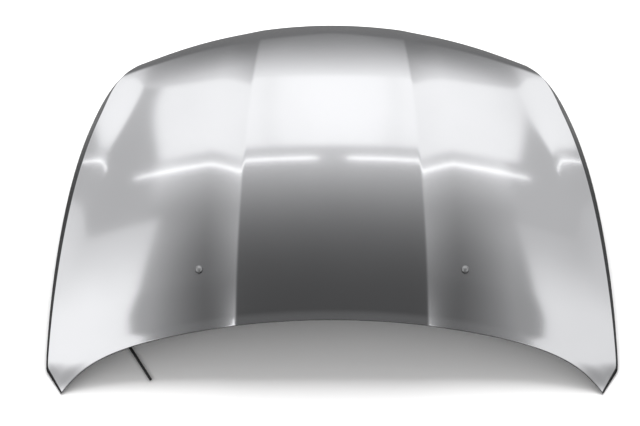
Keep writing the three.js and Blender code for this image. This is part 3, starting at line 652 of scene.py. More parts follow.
@dataclass(frozen=True)
class SkinForm:
    """The pressed form: u runs from side to side, v from the rear edge to the front edge.

    The lengths are in mm from the line through the rear tips, as the maker draws them.
    """

    half_width: float = 725.0
    tip_x: float = 684.4
    corner_x: float = 523.5
    rear_edge: float = 160.0
    rear_bow: float = 97.5
    rear_power: float = 9.3
    front_bow: float = 121.2
    cut: float = 59.7
    side_bow: float = 139.6
    side_power: float = 2.14
    turn_power: float = 11.9
    rear_height: float = 143.0
    rise: float = 0.073
    camber: float = -0.1255
    nose_camber: float = -0.1135
    crowns: tuple[float, float] = (2400.0, 2600.0)
    crown_edge: tuple[float, float] = (10.0, 700.0)       # extra drop, and where it is full
    creases: tuple[float, float] = (237.0, 188.0)
    crease_taper: float = 4.0
    crease_soft: float = 1.2
    raised: float = 9.0                                   # height of the middle panel
    raised_shares: tuple[float, float] = (0.55, 0.45)     # at both ends, and added between
    flank: float = 85.0
    flank_power: int = 3
    eased: float = 0.0         # height by which the shown skin softens its flanks
    ease_power: float = 2.2
    fades: tuple[float, float] = (380.0, 130.0)           # of the easing, at sides and ends
    valley: tuple[float, float, float, float] = (462.0, 960.0, 665.0, 300.0)
    valley_slope: float = 0.12
    valley_soft: float = 10.0
    valley_start: tuple[float, float] = (250.0, 350.0)    # from, and over what length
    tip_drop: float = 18.0
    tip_start: tuple[float, float] = (520.0, 200.0)
    tip_reach: float = 100.0
    roll: tuple[float, float, float] = (3.0, 27.0, 0.9)   # least width, growth, power
    roll_end: float = 0.2
    roll_slope: float = 1.1
    roll_shares: tuple[float, float] = (0.3, 0.7)         # at the rear, and added further on
    steepest: float = 0.62
    bond: float = 4.8
    low_room: tuple[float, float, float] = (10.0, 25.0, 0.25)   # less depth where it lies low
    front_lip: tuple[float, float] = (45.0, 0.32)
    rear_lip: tuple[float, float] = (30.0, 0.12)
    hem_flat: float = 14.0
    lift: float = 0.0          # height of the maker's zero over the floor

    @property
    def side_length(self) -> float:
        """Length of the side, along the car."""
        return FRONT_EDGE - self.front_bow

    @property
    def centre_length(self) -> float:
        """Length of the middle, along the car."""
        return FRONT_EDGE - self.rear_edge

    def rear_line(self, x: Any) -> Any:
        """Place along the car of the rear edge."""
        s = np.abs(x) / self.tip_x
        return (self.rear_edge - self.rear_bow * s ** 2
                - (self.rear_edge - self.rear_bow) * s ** self.rear_power)

    def front_line(self, x: Any) -> Any:
        """Place along the car of the front edge."""
        return FRONT_EDGE - self.front_bow * (x / self.corner_x) ** 2

    def side_x(self, v: Any) -> Any:
        """Half width of the outline.

        Args:
            v: place from the rear edge to the front edge.

        Returns:
            The half width in mm.
        """
        y = v * self.side_length
        t = np.clip((y - self.cut) / (self.side_length - self.cut), 0.0, None)
        turned = self.half_width - self.side_bow - self.corner_x
        after = (self.half_width - self.side_bow * t ** self.side_power
                 - turned * t ** self.turn_power)
        return np.where(y < self.cut, self.tip_x + (self.half_width - self.tip_x) * y / self.cut,
                        after)

    def rear_y(self, u: Any) -> Any:
        """Rear edge by u."""
        return self.rear_line(u * self.tip_x)

    def run(self, u: Any) -> Any:
        """Length from the rear edge to the front edge."""
        return self.front_line(u * self.corner_x) - self.rear_y(u)

    def plan(self, u: Any, v: Any) -> tuple[Any, Any]:
        """Place of (u, v) seen from above."""
        return u * self.side_x(v), self.rear_y(u) + v * self.run(u)

    def roll_width(self, v: Any) -> Any:
        """Width of the turned-down side."""
        least, growth, power = self.roll
        return least + growth * np.clip(v, 0.0, 1.0) ** power * smooth((1.0 - v) / self.roll_end)

    def crease_x(self, y: Any) -> Any:
        """Half spacing of the creases."""
        t = (y - self.rear_edge) / self.centre_length
        rear, front = self.creases
        bow = rear - front - self.crease_taper
        return rear - self.crease_taper * t - bow * np.clip(t, 0.0, 1.0) ** 2

    def lip_drop(self, inset: Any, lip: tuple[float, float]) -> Any:
        """Drop of a lip that bends down and ends straight.

        Args:
            inset: distance from the edge, in mm.
            lip: width of the lip and its slope.

        Returns:
            The drop in mm.
        """
        width, slope = lip
        d = np.maximum(0.0, width - inset)
        bend = width - self.hem_flat
        return np.where(d < bend, slope * d * d / (2.0 * bend), slope * (d - bend / 2.0))

    def crown(self, x: Any, y: Any) -> Any:
        """Height of the plain crowned panel.

        Args:
            x: place across, in mm.
            y: place along, in mm.

        Returns:
            The height in mm.
        """
        t = (y - self.rear_edge) / self.centre_length
        z = self.rear_height + self.centre_length * (
            self.rise * t + self.camber * t * t
            + self.nose_camber * np.clip(t, 0.0, None) ** 4)
        rear, front = self.crowns
        drop, full = self.crown_edge
        z = z - x * x / (2.0 * (rear + (front - rear) * t))
        return z - drop * (np.abs(x) / full) ** 6

    def shoulder(self, away: Any, y: Any) -> Any:
        """Rise outside the shallow valley that runs to each front corner.

        Args:
            away: distance from the middle, in mm.
            y: place along, in mm.

        Returns:
            The rise in mm.
        """
        x0, y0, x1, y1 = self.valley
        dx, dy = x1 - x0, y1 - y0
        across = ((away - x0) * -dy + (y - y0) * dx) / math.hypot(dx, dy)
        start, length = self.valley_start
        return (self.valley_slope * soft_ramp(across, self.valley_soft)
                * smooth((y - start) / length))

    def tip_fall(self, away: Any, y: Any) -> Any:
        """Extra drop towards each rear tip."""
        start, width = self.tip_start
        return (self.tip_drop * smooth((away - start) / width)
                * smooth((self.tip_reach - y) / self.tip_reach))

    def roll_drop(self, u: Any, v: Any) -> Any:
        """Drop of the turned-down side.

        Args:
            u: place from side to side.
            v: place from the rear edge to the front edge.

        Returns:
            The drop in mm.
        """
        width = self.roll_width(v)
        inset = (1.0 - np.abs(u)) * self.side_x(v)
        least, growth = self.roll_shares
        return (self.roll_slope * width * np.clip(1.0 - inset / width, 0.0, 1.0)
                * (least + growth * smooth(v / self.roll_end)))

    def raw_height(self, u: Any, v: Any) -> Any:
        """Height before the bonnet is levelled.

        Args:
            u: place from side to side.
            v: place from the rear edge to the front edge.

        Returns:
            The height in mm.
        """
        x, y = self.plan(u, v)
        away = np.abs(x)
        z = self.crown(x, y)
        z = z + self.raised * self.share(y) * self.beside(x, y) ** self.flank_power
        z = z + self.shoulder(away, y) - self.tip_fall(away, y) - self.roll_drop(u, v)
        return (z - self.lip_drop((1.0 - v) * self.run(u), self.front_lip)
                - self.lip_drop(v * self.run(u), self.rear_lip))

    def share(self, y: Any) -> Any:
        """Share of the full step at the creases, least at both ends."""
        t = np.clip((y - self.rear_edge) / self.centre_length, 0.0, 1.0)
        least, growth = self.raised_shares
        return least + growth * np.sin(math.pi * t)

    def beside(self, x: Any, y: Any) -> Any:
        """1 on the middle panel, falling to 0 at the foot of the flank."""
        away = soft_ramp(np.abs(x) - self.crease_x(y), self.crease_soft)
        return np.clip(1.0 - away / self.flank, 0.0, 1.0)

    def easing(self, u: Any, v: Any) -> Any:
        """Height that softens the flanks, and fades out before the folded edge.

        Args:
            u: place from side to side.
            v: place from the rear edge to the front edge.

        Returns:
            The height in mm.
        """
        x, y = self.plan(u, v)
        q = self.beside(x, y)
        kept = self.raised - self.eased
        rise = kept * q ** self.ease_power + self.eased - self.raised * q ** self.flank_power
        side, end = self.fades
        fade = smooth((1.0 - np.abs(u)) * self.side_x(v) / side)
        ends = smooth(v * self.run(u) / end) * smooth((1.0 - v) * self.run(u) / end)
        return rise * self.share(y) * fade * np.sqrt(ends)

    def height(self, u: Any, v: Any) -> Any:
        """Height with the rear tips and the nose on one plane.

        Args:
            u: place from side to side.
            v: place from the rear edge to the front edge.

        Returns:
            The height in mm.
        """
        _, y = self.plan(u, v)
        tip = float(self.raw_height(np.array(1.0), np.array(0.0)))
        nose = float(self.raw_height(np.array(0.0), np.array(1.0)))
        level = self.raw_height(u, v) - (tip + (nose - tip) * y / FRONT_EDGE)
        return level + self.easing(u, v) if self.eased else level

    def upward(self, u: Any, v: Any) -> np.ndarray:
        """Unit normals, from short steps along u and v.

        Args:
            u: place from side to side.
            v: place from the rear edge to the front edge.

        Returns:
            The normals, with x, y, z last.
        """
        step = 0.004
        u0, u1 = np.clip(u - step, -1, 1), np.clip(u + step, -1, 1)
        v0, v1 = np.clip(v - step, 0, 1), np.clip(v + step, 0, 1)
        along_u = [b - a for a, b in zip((*self.plan(u0, v), self.height(u0, v)),
                                         (*self.plan(u1, v), self.height(u1, v)))]
        along_v = [b - a for a, b in zip((*self.plan(u, v0), self.height(u, v0)),
                                         (*self.plan(u, v1), self.height(u, v1)))]
        normal = np.cross(np.stack(along_u, -1), np.stack(along_v, -1))
        return normal / np.linalg.norm(normal, axis=-1, keepdims=True)

    def below(self, u: Any, v: Any, depth: float) -> np.ndarray:
        """Points a given depth under the skin.

        Args:
            u: place from side to side.
            v: place from the rear edge to the front edge.
            depth: the depth in mm.

        Returns:
            The points in metres, in the row frame.
        """
        x, y = self.plan(u, v)
        z = self.height(u, v)
        low, span, least = self.low_room
        room = np.clip((z - low) / span, least, 1.0)
        thin = min(depth, self.bond) / np.maximum(self.steepest, self.upward(u, v)[..., 2])
        z = z - thin - max(0.0, depth - self.bond) * room
        return np.stack([x, y - FRONT_EDGE / 2.0, z + self.lift], -1) * MM

    def locate(self, x: float, y: float) -> tuple[float, float]:
        """Finds a place that is given as seen from above.

        Args:
            x: place across, in mm.
            y: place along, in mm.

        Returns:
            Its u and v.
        """
        u, v = x / self.half_width, 0.5
        for _ in range(25):
            v = float((y - self.rear_y(u)) / self.run(u))
            u = float(x / self.side_x(min(1.0, max(0.0, v))))
        return u, v

    def inset(self, u: Any, v: Any, amount: float) -> tuple[Any, Any]:
        """Moves points in from the outline, less and less away from it.

        Args:
            u: place from side to side.
            v: place from the rear edge to the front edge.
            amount: how far the outline itself moves, in mm.

        Returns:
            The new u and v.
        """
        def share(near: Any, part: Any) -> Any:
            """Part of the inset that reaches a point."""
            return part * near ** np.maximum(1.0, 0.45 / np.maximum(part, 0.0005))

        inner = u * (1.0 - share(np.abs(u), amount / self.side_x(v)))
        length = self.run(inner)
        return inner, v + share(1.0 - v, amount / length) - share(v, amount / length)

    def seat(self, x: float, y: float) -> Matrix:
        """Stands a frame on the skin: x across, y along, z outwards.

        Args:
            x: place across, in mm.
            y: place along, in mm.

        Returns:
            The frame, in metres.
        """
        u, v = (np.array(value) for value in self.locate(x, y))
        up = Vector(self.upward(u, v))
        across = Vector((0, 1, 0)).cross(up).normalized()
        along = up.cross(across)
        made = Matrix((across, along, up)).transposed().to_4x4()
        made.translation = Vector(self.below(u, v, 0.0))
        return made


def skin_lift() -> float:
    """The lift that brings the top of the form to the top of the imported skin.

    Returns:
        The height in mm of the maker's zero over the floor.
    """
    u, v = np.meshgrid(np.linspace(-1.0, 1.0, 401), np.linspace(0.0, 1.0, 401))
    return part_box("outer_skin")[1][2] / MM - float(SkinForm().height(u, v).max())


FORM = SkinForm(lift=skin_lift())
SHOWN = replace(FORM, eased=3.8)


# Outer skin


def spread(marks: Sequence[np.ndarray | float], counts: Sequence[int]) -> np.ndarray:
    """Divides the spans between marks.

    Args:
        marks: numbers or arrays of one shape.
        counts: divisions of each span.

    Returns:
        The places, with the divisions as the first axis.
    """
    made = [np.asarray(marks[0], dtype=float)]
    for low, high, count in zip(marks[:-1], marks[1:], counts):
        made += [low + (high - low) * k / count for k in range(1, count + 1)]
    return np.stack(np.broadcast_arrays(*made), 0)


@dataclass
class OuterSkin:
    """The outer sheet with its twin creases, rolled sides and folded hem."""

    form: SkinForm = SHOWN
    sheet: float = 0.8
    fold: float = 3.3          # thickness of the folded edge
    hem: float = 9.0
    hem_lift: float = 2.5      # depth of the upper face of the folded strip
    hem_soft: float = 0.3
    jet_hole: float = 5.1
    drill_span: tuple[float, float] = (-12.0, 8.0)
    jets: tuple[tuple[float, float], ...] = ((-332.0, 291.0), (332.0, 291.0))
    crease_band: float = 9.0   # width of the fine columns on each side of a crease
    flank_past: float = 6.0
    roll_band: float = 14.0
    turn_band: tuple[float, float] = (4.0, 0.3)    # greatest width, and share of the roll
    half_columns: tuple[int, ...] = (14, 4, 4, 12, 48, 4, 4, 10)
    rear_marks: tuple[float, ...] = (14.0, 34.0, 75.0, 150.0)
    front_marks: tuple[float, ...] = (110.0, 50.0, 14.0)
    rows: tuple[int, ...] = (6, 5, 7, 8, 78, 10, 9, 7)

    def columns(self, v: np.ndarray) -> np.ndarray:
        """Half of the column stations, from the middle outwards.

        Args:
            v: place from the rear edge to the front edge.

        Returns:
            The values of u, with the stations as the first axis.
        """
        width = self.form.side_x(v)
        crease = self.form.crease_x(self.form.rear_edge + v * self.form.centre_length)
        roll = self.form.roll_width(v)
        most, part = self.turn_band
        near = np.minimum(most, roll * part)
        marks = [0.0 * v, (crease - self.crease_band) / width, crease / width,
                 (crease + self.crease_band) / width,
                 (crease + self.form.flank + self.flank_past) / width,
                 1.0 - (roll + self.roll_band) / width, 1.0 - (roll + near) / width,
                 1.0 - (roll - near) / width, 1.0 + 0.0 * v]
        return spread(marks, self.half_columns)

    def row_places(self, u: np.ndarray) -> np.ndarray:
        """Row stations, from the rear edge to the front edge.

        Args:
            u: place from side to side.

        Returns:
            The values of v, with the stations as the first axis.
        """
        run = self.form.run(u)
        marks = [0.0 * u, *(mark / run for mark in self.rear_marks),
                 *(1.0 - mark / run for mark in self.front_marks), 1.0 + 0.0 * u]
        return spread(marks, self.rows)

    def stations(self) -> tuple[np.ndarray, np.ndarray]:
        """The (u, v) of the whole grid.

        Returns:
            Two tables, rows by columns.
        """
        rows, half = sum(self.rows) + 1, sum(self.half_columns)
        lines = np.arange(-half, half + 1)
        v = np.repeat(self.row_places(np.zeros(1))[:, :1], len(lines), axis=1)
        u = np.zeros_like(v)
        picked = np.arange(rows)[:, None]
        for _ in range(5):
            table = self.columns(v)
            u = np.take_along_axis(table, np.abs(lines)[None, None, :].repeat(rows, 1), 0)[0]
            u = u * np.sign(lines)[None, :]
            v = np.take_along_axis(self.row_places(u), picked[None].repeat(len(lines), 2), 0)[0]
        return u, v

    def sheet_points(self, u: np.ndarray, v: np.ndarray, depth: float) -> np.ndarray:
        """One side of the sheet, up to the tangent of the fold."""
        return self.form.below(*self.form.inset(u, v, self.fold / 2.0), depth)

    def hem_points(self, u: np.ndarray, v: np.ndarray) -> np.ndarray:
        """The fold and the strip under it, as a closed band round the outline.

        Args:
            u: table of the grid's u.
            v: table of the grid's v.

        Returns:
            Rings of points from the outer face round the fold to the inner face.
        """
        loop_u = np.concatenate([u[0, :-1], u[:-1, -1], u[-1, :0:-1], u[::-1, 0]])
        loop_v = np.concatenate([v[0, :-1], v[:-1, -1], v[-1, :0:-1], v[::-1, 0]])
        outer, inner, soft = self.fold / 2.0, self.fold / 2.0 - self.sheet, self.hem_soft
        arc = np.radians([0, 22, 45, 68, 90, 112, 135, 158, 180])
        levels = [(outer - outer * math.sin(a), outer - outer * math.cos(a)) for a in arc]
        levels += [(self.hem - soft, self.fold), (self.hem, self.fold - soft),
                   (self.hem, self.hem_lift + soft), (self.hem - soft, self.hem_lift)]
        levels += [(outer - inner * math.sin(a), outer - inner * math.cos(a))
                   for a in arc[::-2]]
        return np.array([self.form.below(*self.form.inset(loop_u, loop_v, amount), depth)
                         for amount, depth in levels])

    def build(self) -> bpy.types.Object:
        """Makes the skin, cuts the jet holes and dresses it.

        Returns:
            The finished skin.
        """
        u, v = self.stations()
        top = lay_grid("skin_panel", self.sheet_points(u, v, 0.0))
        under = lay_grid("skin_under", self.sheet_points(u, v, self.sheet))
        band = lay_grid("skin_hem", self.hem_points(u, v))
        skin = join("skin_panel", [top, under, band])
        tidy_mesh(skin, 4e-6)
        carve(skin, *(self.drill(x, y) for x, y in self.jets))
        shade(skin, 60)
        return finish_piece(skin, Finishes.BODY_PAINT, "outer_skin")

    def drill(self, x: float, y: float) -> bpy.types.Object:
        """The tool that pierces the sheet for a washer jet."""
        return turn("drill", [(self.jet_hole, level) for level in self.drill_span], 48,
                    self.form.seat(x, y))


# Washer jets and hoses


class Side(Enum):
    """The two sides of the bonnet, with the sign of x and the direction of the nipple."""

    LEFT = (-1, (-1.0, 0.0, 0.0))
    RIGHT = (1, (0.0, -1.0, 0.0))


@dataclass
class WasherJet:
    """A domed fluidic jet with its foam gasket, stem and hose nipple."""

    side: Side
    x: float = 332.0
    y: float = 291.0
    depth: float = 30.2        # depth of the hose line under the skin
    stem: float = 4.6
    foot: float = 4.5          # length of the stem past the hose line
    nipple: float = 1.6
    reach: float = 16.6
    slot_place: tuple[float, float] = (-10.2, 4.5)     # along and up
    slot_size: tuple[float, float, float] = (6.4, 7.0, 2.2)
    insert_y: float = -5.9
    insert_tilt: float = 82.0
    insert: tuple[tuple[float, float], ...] = (
        (1.1, 0.0), (1.5, 0.4), (1.5, 2.4), (0.9, 2.7), (0.45, 2.7), (0.4, 1.6))
    dome: tuple[tuple[float, float], ...] = (
        (4.6, 0.9), (9.0, 1.25), (9.9, 1.4), (10.2, 1.8), (10.2, 2.5), (9.9, 3.4),
        (9.2, 4.4), (8.1, 5.35), (6.7, 6.2), (5.1, 6.85), (3.4, 7.25), (1.7, 7.45),
        (0.4, 7.5))

    @property
    def seat(self) -> Matrix:
        """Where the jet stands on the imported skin."""
        return FORM.seat(self.side.value[0] * self.x, self.y)

    @property
    def rise(self) -> float:
        """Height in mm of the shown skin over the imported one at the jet."""
        u, v = (np.array(value) for value in FORM.locate(self.x, self.y))
        return float(SHOWN.height(u, v) - FORM.height(u, v))

    @property
    def tag(self) -> str:
        """The side's name in lower case."""
        return self.side.name.lower()

    def nozzle(self) -> list[bpy.types.Object]:
        """Makes the cut for the spray slot, and the round insert that stands in it.

        Returns:
            The cutting tool and the insert.
        """
        y, level = self.slot_place
        level = (level + self.rise) * MM
        deselect()
        bpy.ops.mesh.primitive_cube_add(size=1, location=(0, y * MM, level),
                                        scale=tuple(side * MM for side in self.slot_size))
        bpy.ops.object.transform_apply(location=True, rotation=True, scale=True)
        slot = bpy.context.object
        apply_modifier(slot, "BEVEL", width=0.5 * MM, segments=2)
        slot.data.transform(self.seat)
        tilt = Matrix.Rotation(math.radians(self.insert_tilt), 4, "X")
        insert = turn("jet_insert", self.insert, 20,
                      self.seat @ Matrix.Translation((0, self.insert_y * MM, level)) @ tilt)
        return [slot, insert]

    def build(self) -> None:
        """Makes the jet and its gasket."""
        foot = -(self.depth + self.foot)
        body = turn(f"jet_{self.tag}", [
            (3.4, foot), (4.0, foot + 0.25), (4.45, foot + 0.8), (self.stem, foot + 1.4),
            (self.stem, -18.0), (5.0, -17.6), (5.0, -16.4), (self.stem, -16.0),
            (self.stem, 0.6), *((radius, level + self.rise) for radius, level in self.dome)],
            64, self.seat)
        slot, insert = self.nozzle()
        carve(body, slot)
        start = Vector((0, 0, -self.depth * MM))
        out = Vector(self.side.value[1])
        line = np.array([start + out * step * MM for step in (0.0, 5, 8, 11, 14, self.reach)])
        spout = rod("jet_nipple", self.world(line), self.nipple, 20, (0.0, 4.0), 0.8)
        jet = join(f"jet_{self.tag}", [body, insert, spout])
        shade(jet, 35)
        finish_piece(jet, Finishes.JET, f"washer_jet_{self.tag}")
        raised = self.seat @ Matrix.Translation((0, 0, self.rise * MM))
        gasket = turn(f"gasket_{self.tag}", [
            (9.1, 0.3), (9.4, 0.45), (9.4, 0.95), (9.1, 1.1)], 48, raised)
        carve(gasket, turn("gasket_bore", [(5.1, -1.0), (5.1, 2.5)], 48, raised))
        shade(gasket, 40)
        finish_piece(gasket, Finishes.RUBBER, f"jet_gasket_{self.tag}")

    def world(self, points: np.ndarray) -> np.ndarray:
        """Points of the seat's frame, in the row frame."""
        return np.array([list(self.seat @ Vector(point)) for point in points])


@dataclass
class WasherHoses:
    """The hose from the supply over the tee to both jets, and its loose tail."""

    radius: float = 3.5
    line: float = 30.2         # depth of the hoses under the skin
    rear_inset: float = 48.0
    tee: float = 45.0          # from the left jet to the tee
    tee_half: float = 8.0      # from the middle of the tee to a hose's end
    gap: float = 0.3
    clip_place: tuple[float, float] = (47.3, 17.0)     # in from the side, ahead of the jets
    straights: tuple[float, ...] = (0.0, 6.0, 12.0, 20.0)
    corner: tuple[tuple[float, float], ...] = ((1, 63), (10, 87), (32, 103))
    channel: tuple[float, float, int] = (32.0, 90.0, 15)
    near: tuple[tuple[float, float], ...] = ((29, 93), (8, 71), (0, 45))
    bends: tuple[tuple[float, float], ...] = (
        (0.2, -8), (0.41, 24), (0.6, 52), (0.77, 66), (0.9, 58), (0.97, 38))
    last: tuple[float, ...] = (20, 10, 0)
    tail_way: tuple[tuple[float, float, float], ...] = (   # across, along and down
        (0, -0.3, 0), (0, -16, 0.5), (7, -38, 5), (27, -63, 14), (59, -90, 22),
        (92, -119, 99), (124, -152, 99), (155, -193, 99), (182, -233, 99),
        (208.5, -272.3, 99))
    jets: tuple[WasherJet, WasherJet] = field(
        default_factory=lambda: (WasherJet(Side.LEFT), WasherJet(Side.RIGHT)))

    @property
    def exit(self) -> tuple[float, float]:
        """Where the hose leaves its last clip, seen from above in mm."""
        inwards, ahead = self.clip_place
        y = self.jets[0].y + ahead
        return inwards - float(FORM.side_x(np.array(y / FORM.side_length))), y

    def under(self, x: float, y: float) -> np.ndarray:
        """A point of the hose line, in metres."""
        u, v = FORM.locate(x, y)
        return FORM.below(np.array(u), np.array(v), self.line)

    def straight(self, jet: WasherJet, root: Vector, out: Vector, first: float) -> np.ndarray:
        """Straight start at a nipple: four points in line."""
        return jet.world(np.array([root + out * (first + step) * MM
                                   for step in self.straights]))

    def cross(self) -> np.ndarray:
        """Route from the tee along the rear channel to the right jet.

        Returns:
            Points in metres.
        """
        left, right = self.jets
        root = Vector((-self.tee * MM, 0, -self.line * MM))
        branch = self.straight(left, root, Vector((0, -1, 0)), self.tee_half + self.gap)
        level = Vector((0, 0, -self.line * MM))
        arrive = self.straight(right, level, Vector(right.side.value[1]),
                               right.stem + 2 * self.gap)
        x0 = branch[3][0] / MM
        corner = [self.under(x0 + dx, left.y - dy) for dx, dy in self.corner]
        start, less, count = self.channel
        places = start - left.x + (2 * left.x - less) * np.arange(count) / (count - 1)
        along = [self.under(x, float(FORM.rear_line(x)) + self.rear_inset) for x in places]
        near = [self.under(right.x - dx, right.y - dy) for dx, dy in self.near]
        return catmull_rom(np.array([*branch, *corner, *along, *near, *arrive[::-1]]), 7)

    def supply(self) -> np.ndarray:
        """Route from the tee to the last clip at the left channel.

        Returns:
            Points in metres.
        """
        left = self.jets[0]
        root = Vector((-self.tee * MM, 0, -self.line * MM))
        start = self.straight(left, root, Vector((-1, 0, 0)), self.tee_half + self.gap)
        x0, (end_x, end_y) = start[3][0] / MM, self.exit
        bend = [self.under(x0 + (end_x - x0) * part, end_y + dy) for part, dy in self.bends]
        last = [self.under(end_x, end_y + dy) for dy in self.last]
        return catmull_rom(np.array([*start, *bend, *last]), 7)

    def bridge(self) -> np.ndarray:
        """Route from the left jet to the tee.

        Returns:
            Points in metres.
        """
        left = self.jets[0]
        level, out = Vector((0, 0, -self.line * MM)), Vector((-1, 0, 0))
        ends = (left.stem + 2 * self.gap, self.tee - self.tee_half - self.gap)
        steps = np.linspace(ends[0], ends[1], 8)
        return left.world(np.array([level + out * step * MM for step in steps]))

    def tail_points(self) -> np.ndarray:
        """Route points of the loose tail: out of the clip, down, and out behind the edge.

        Returns:
            Points in metres.
        """
        x, y = self.exit
        start = self.under(x, y)
        rest = (self.radius + self.gap) * MM + self.floor_gap()
        return np.array([(start[0] + dx * MM, start[1] + dy * MM,
                          max(rest, start[2] - fall * MM)) for dx, dy, fall in self.tail_way])

    def floor_gap(self) -> float:
        """Height of the folded edge at the rear tips over the floor."""
        return float(FORM.below(np.array(1.0), np.array(0.0), OuterSkin.fold)[2])

    def tail(self) -> None:
        """Makes the loose tail."""
        points = self.tail_points()
        route = catmull_rom(points, 8)
        piece = rod("hose_tail_piece", route, self.radius, 28, (0.0, 14.0))
        finish_piece(piece, Finishes.RUBBER, "hose_tail")

    def build(self) -> None:
        """Makes the three fixed hoses."""
        for name, route, ends in (("hose_cross", self.cross(), (16.0, 16.0)),
                                  ("hose_supply", self.supply(), (16.0, 0.0)),
                                  ("hose_jet_left", self.bridge(), (14.0, 14.0))):
            piece = rod(f"{name}_piece", route, self.radius, 24, ends)
            finish_piece(piece, Finishes.RUBBER, name)


# Striker


def node_normal(node: str, upward: float = 0.6) -> Vector:
    """Mean direction of a CAD node's upper faces.

    Args:
        node: the node's name.
        upward: least z of a face's normal that counts.

    Returns:
        The direction.
    """
    total = Vector()
    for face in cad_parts[node].data.polygons:
        if face.normal.z > upward:
            total += face.normal * face.area
    return total.normalized()


def node_centre(node: str) -> Vector:
    """Middle of a CAD node's box."""
    low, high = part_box(node)
    return (Vector(low) + Vector(high)) / 2.0


@dataclass
class StrikerLoop:
    """The bent rod that the lock takes hold of, with its welded feet."""

    rod_radius: float = 4.2
    span: float = 34.0
    drop: float = 27.0

    def build(self) -> None:
        """Makes the loop below the striker plate."""
        up = node_normal("striker_plate")
        across = Vector((0, 1, 0)).cross(up).normalized()
        centre = node_centre("striker_loop")
        reach = self.drop + self.rod_radius
        top = centre + up * (reach / 2.0) * MM
        half = self.span / 2.0
        bend = half - self.drop
        points = [(-half, 0.0), (-half, bend * 0.35), (-half, bend * 0.75)]
        points += [(half * math.cos(a), bend + half * math.sin(a))
                   for a in np.linspace(math.pi, 2 * math.pi, 25)]
        points += [(half, bend * 0.75), (half, bend * 0.35), (half, 0.0)]
        route = np.array([list(top + across * x * MM + up * z * MM) for x, z in points])
        loop = rod("striker_loop_piece", route, self.rod_radius - 0.05, 32)
        finish_piece(loop, Finishes.ZINC, "striker_loop")


# Nodes that keep their shape


FINISH_BY_START: tuple[tuple[str, Finishes], ...] = (
    ("inner_frame", Finishes.INNER_PAINT), ("hinge", Finishes.ZINC), ("latch", Finishes.ZINC),
    ("striker", Finishes.ZINC), ("hose_tee", Finishes.PLASTIC), ("hose_clip", Finishes.PLASTIC),
    ("washer_jet", Finishes.JET), ("mastic", Finishes.MASTIC), ("", Finishes.RUBBER))


def dress_nodes() -> None:
    """Gives every CAD node its finish, also where a piece stands for it."""
    for name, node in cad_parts.items():
        finish = next(finish for start, finish in FINISH_BY_START if name.startswith(start))
        if name == "outer_skin":
            finish = Finishes.BODY_PAINT
        node.data.materials.clear()
        node.data.materials.append(finish.value.material())
        LOG.info("node %s: %s", name, finish.value.name)


# Studio


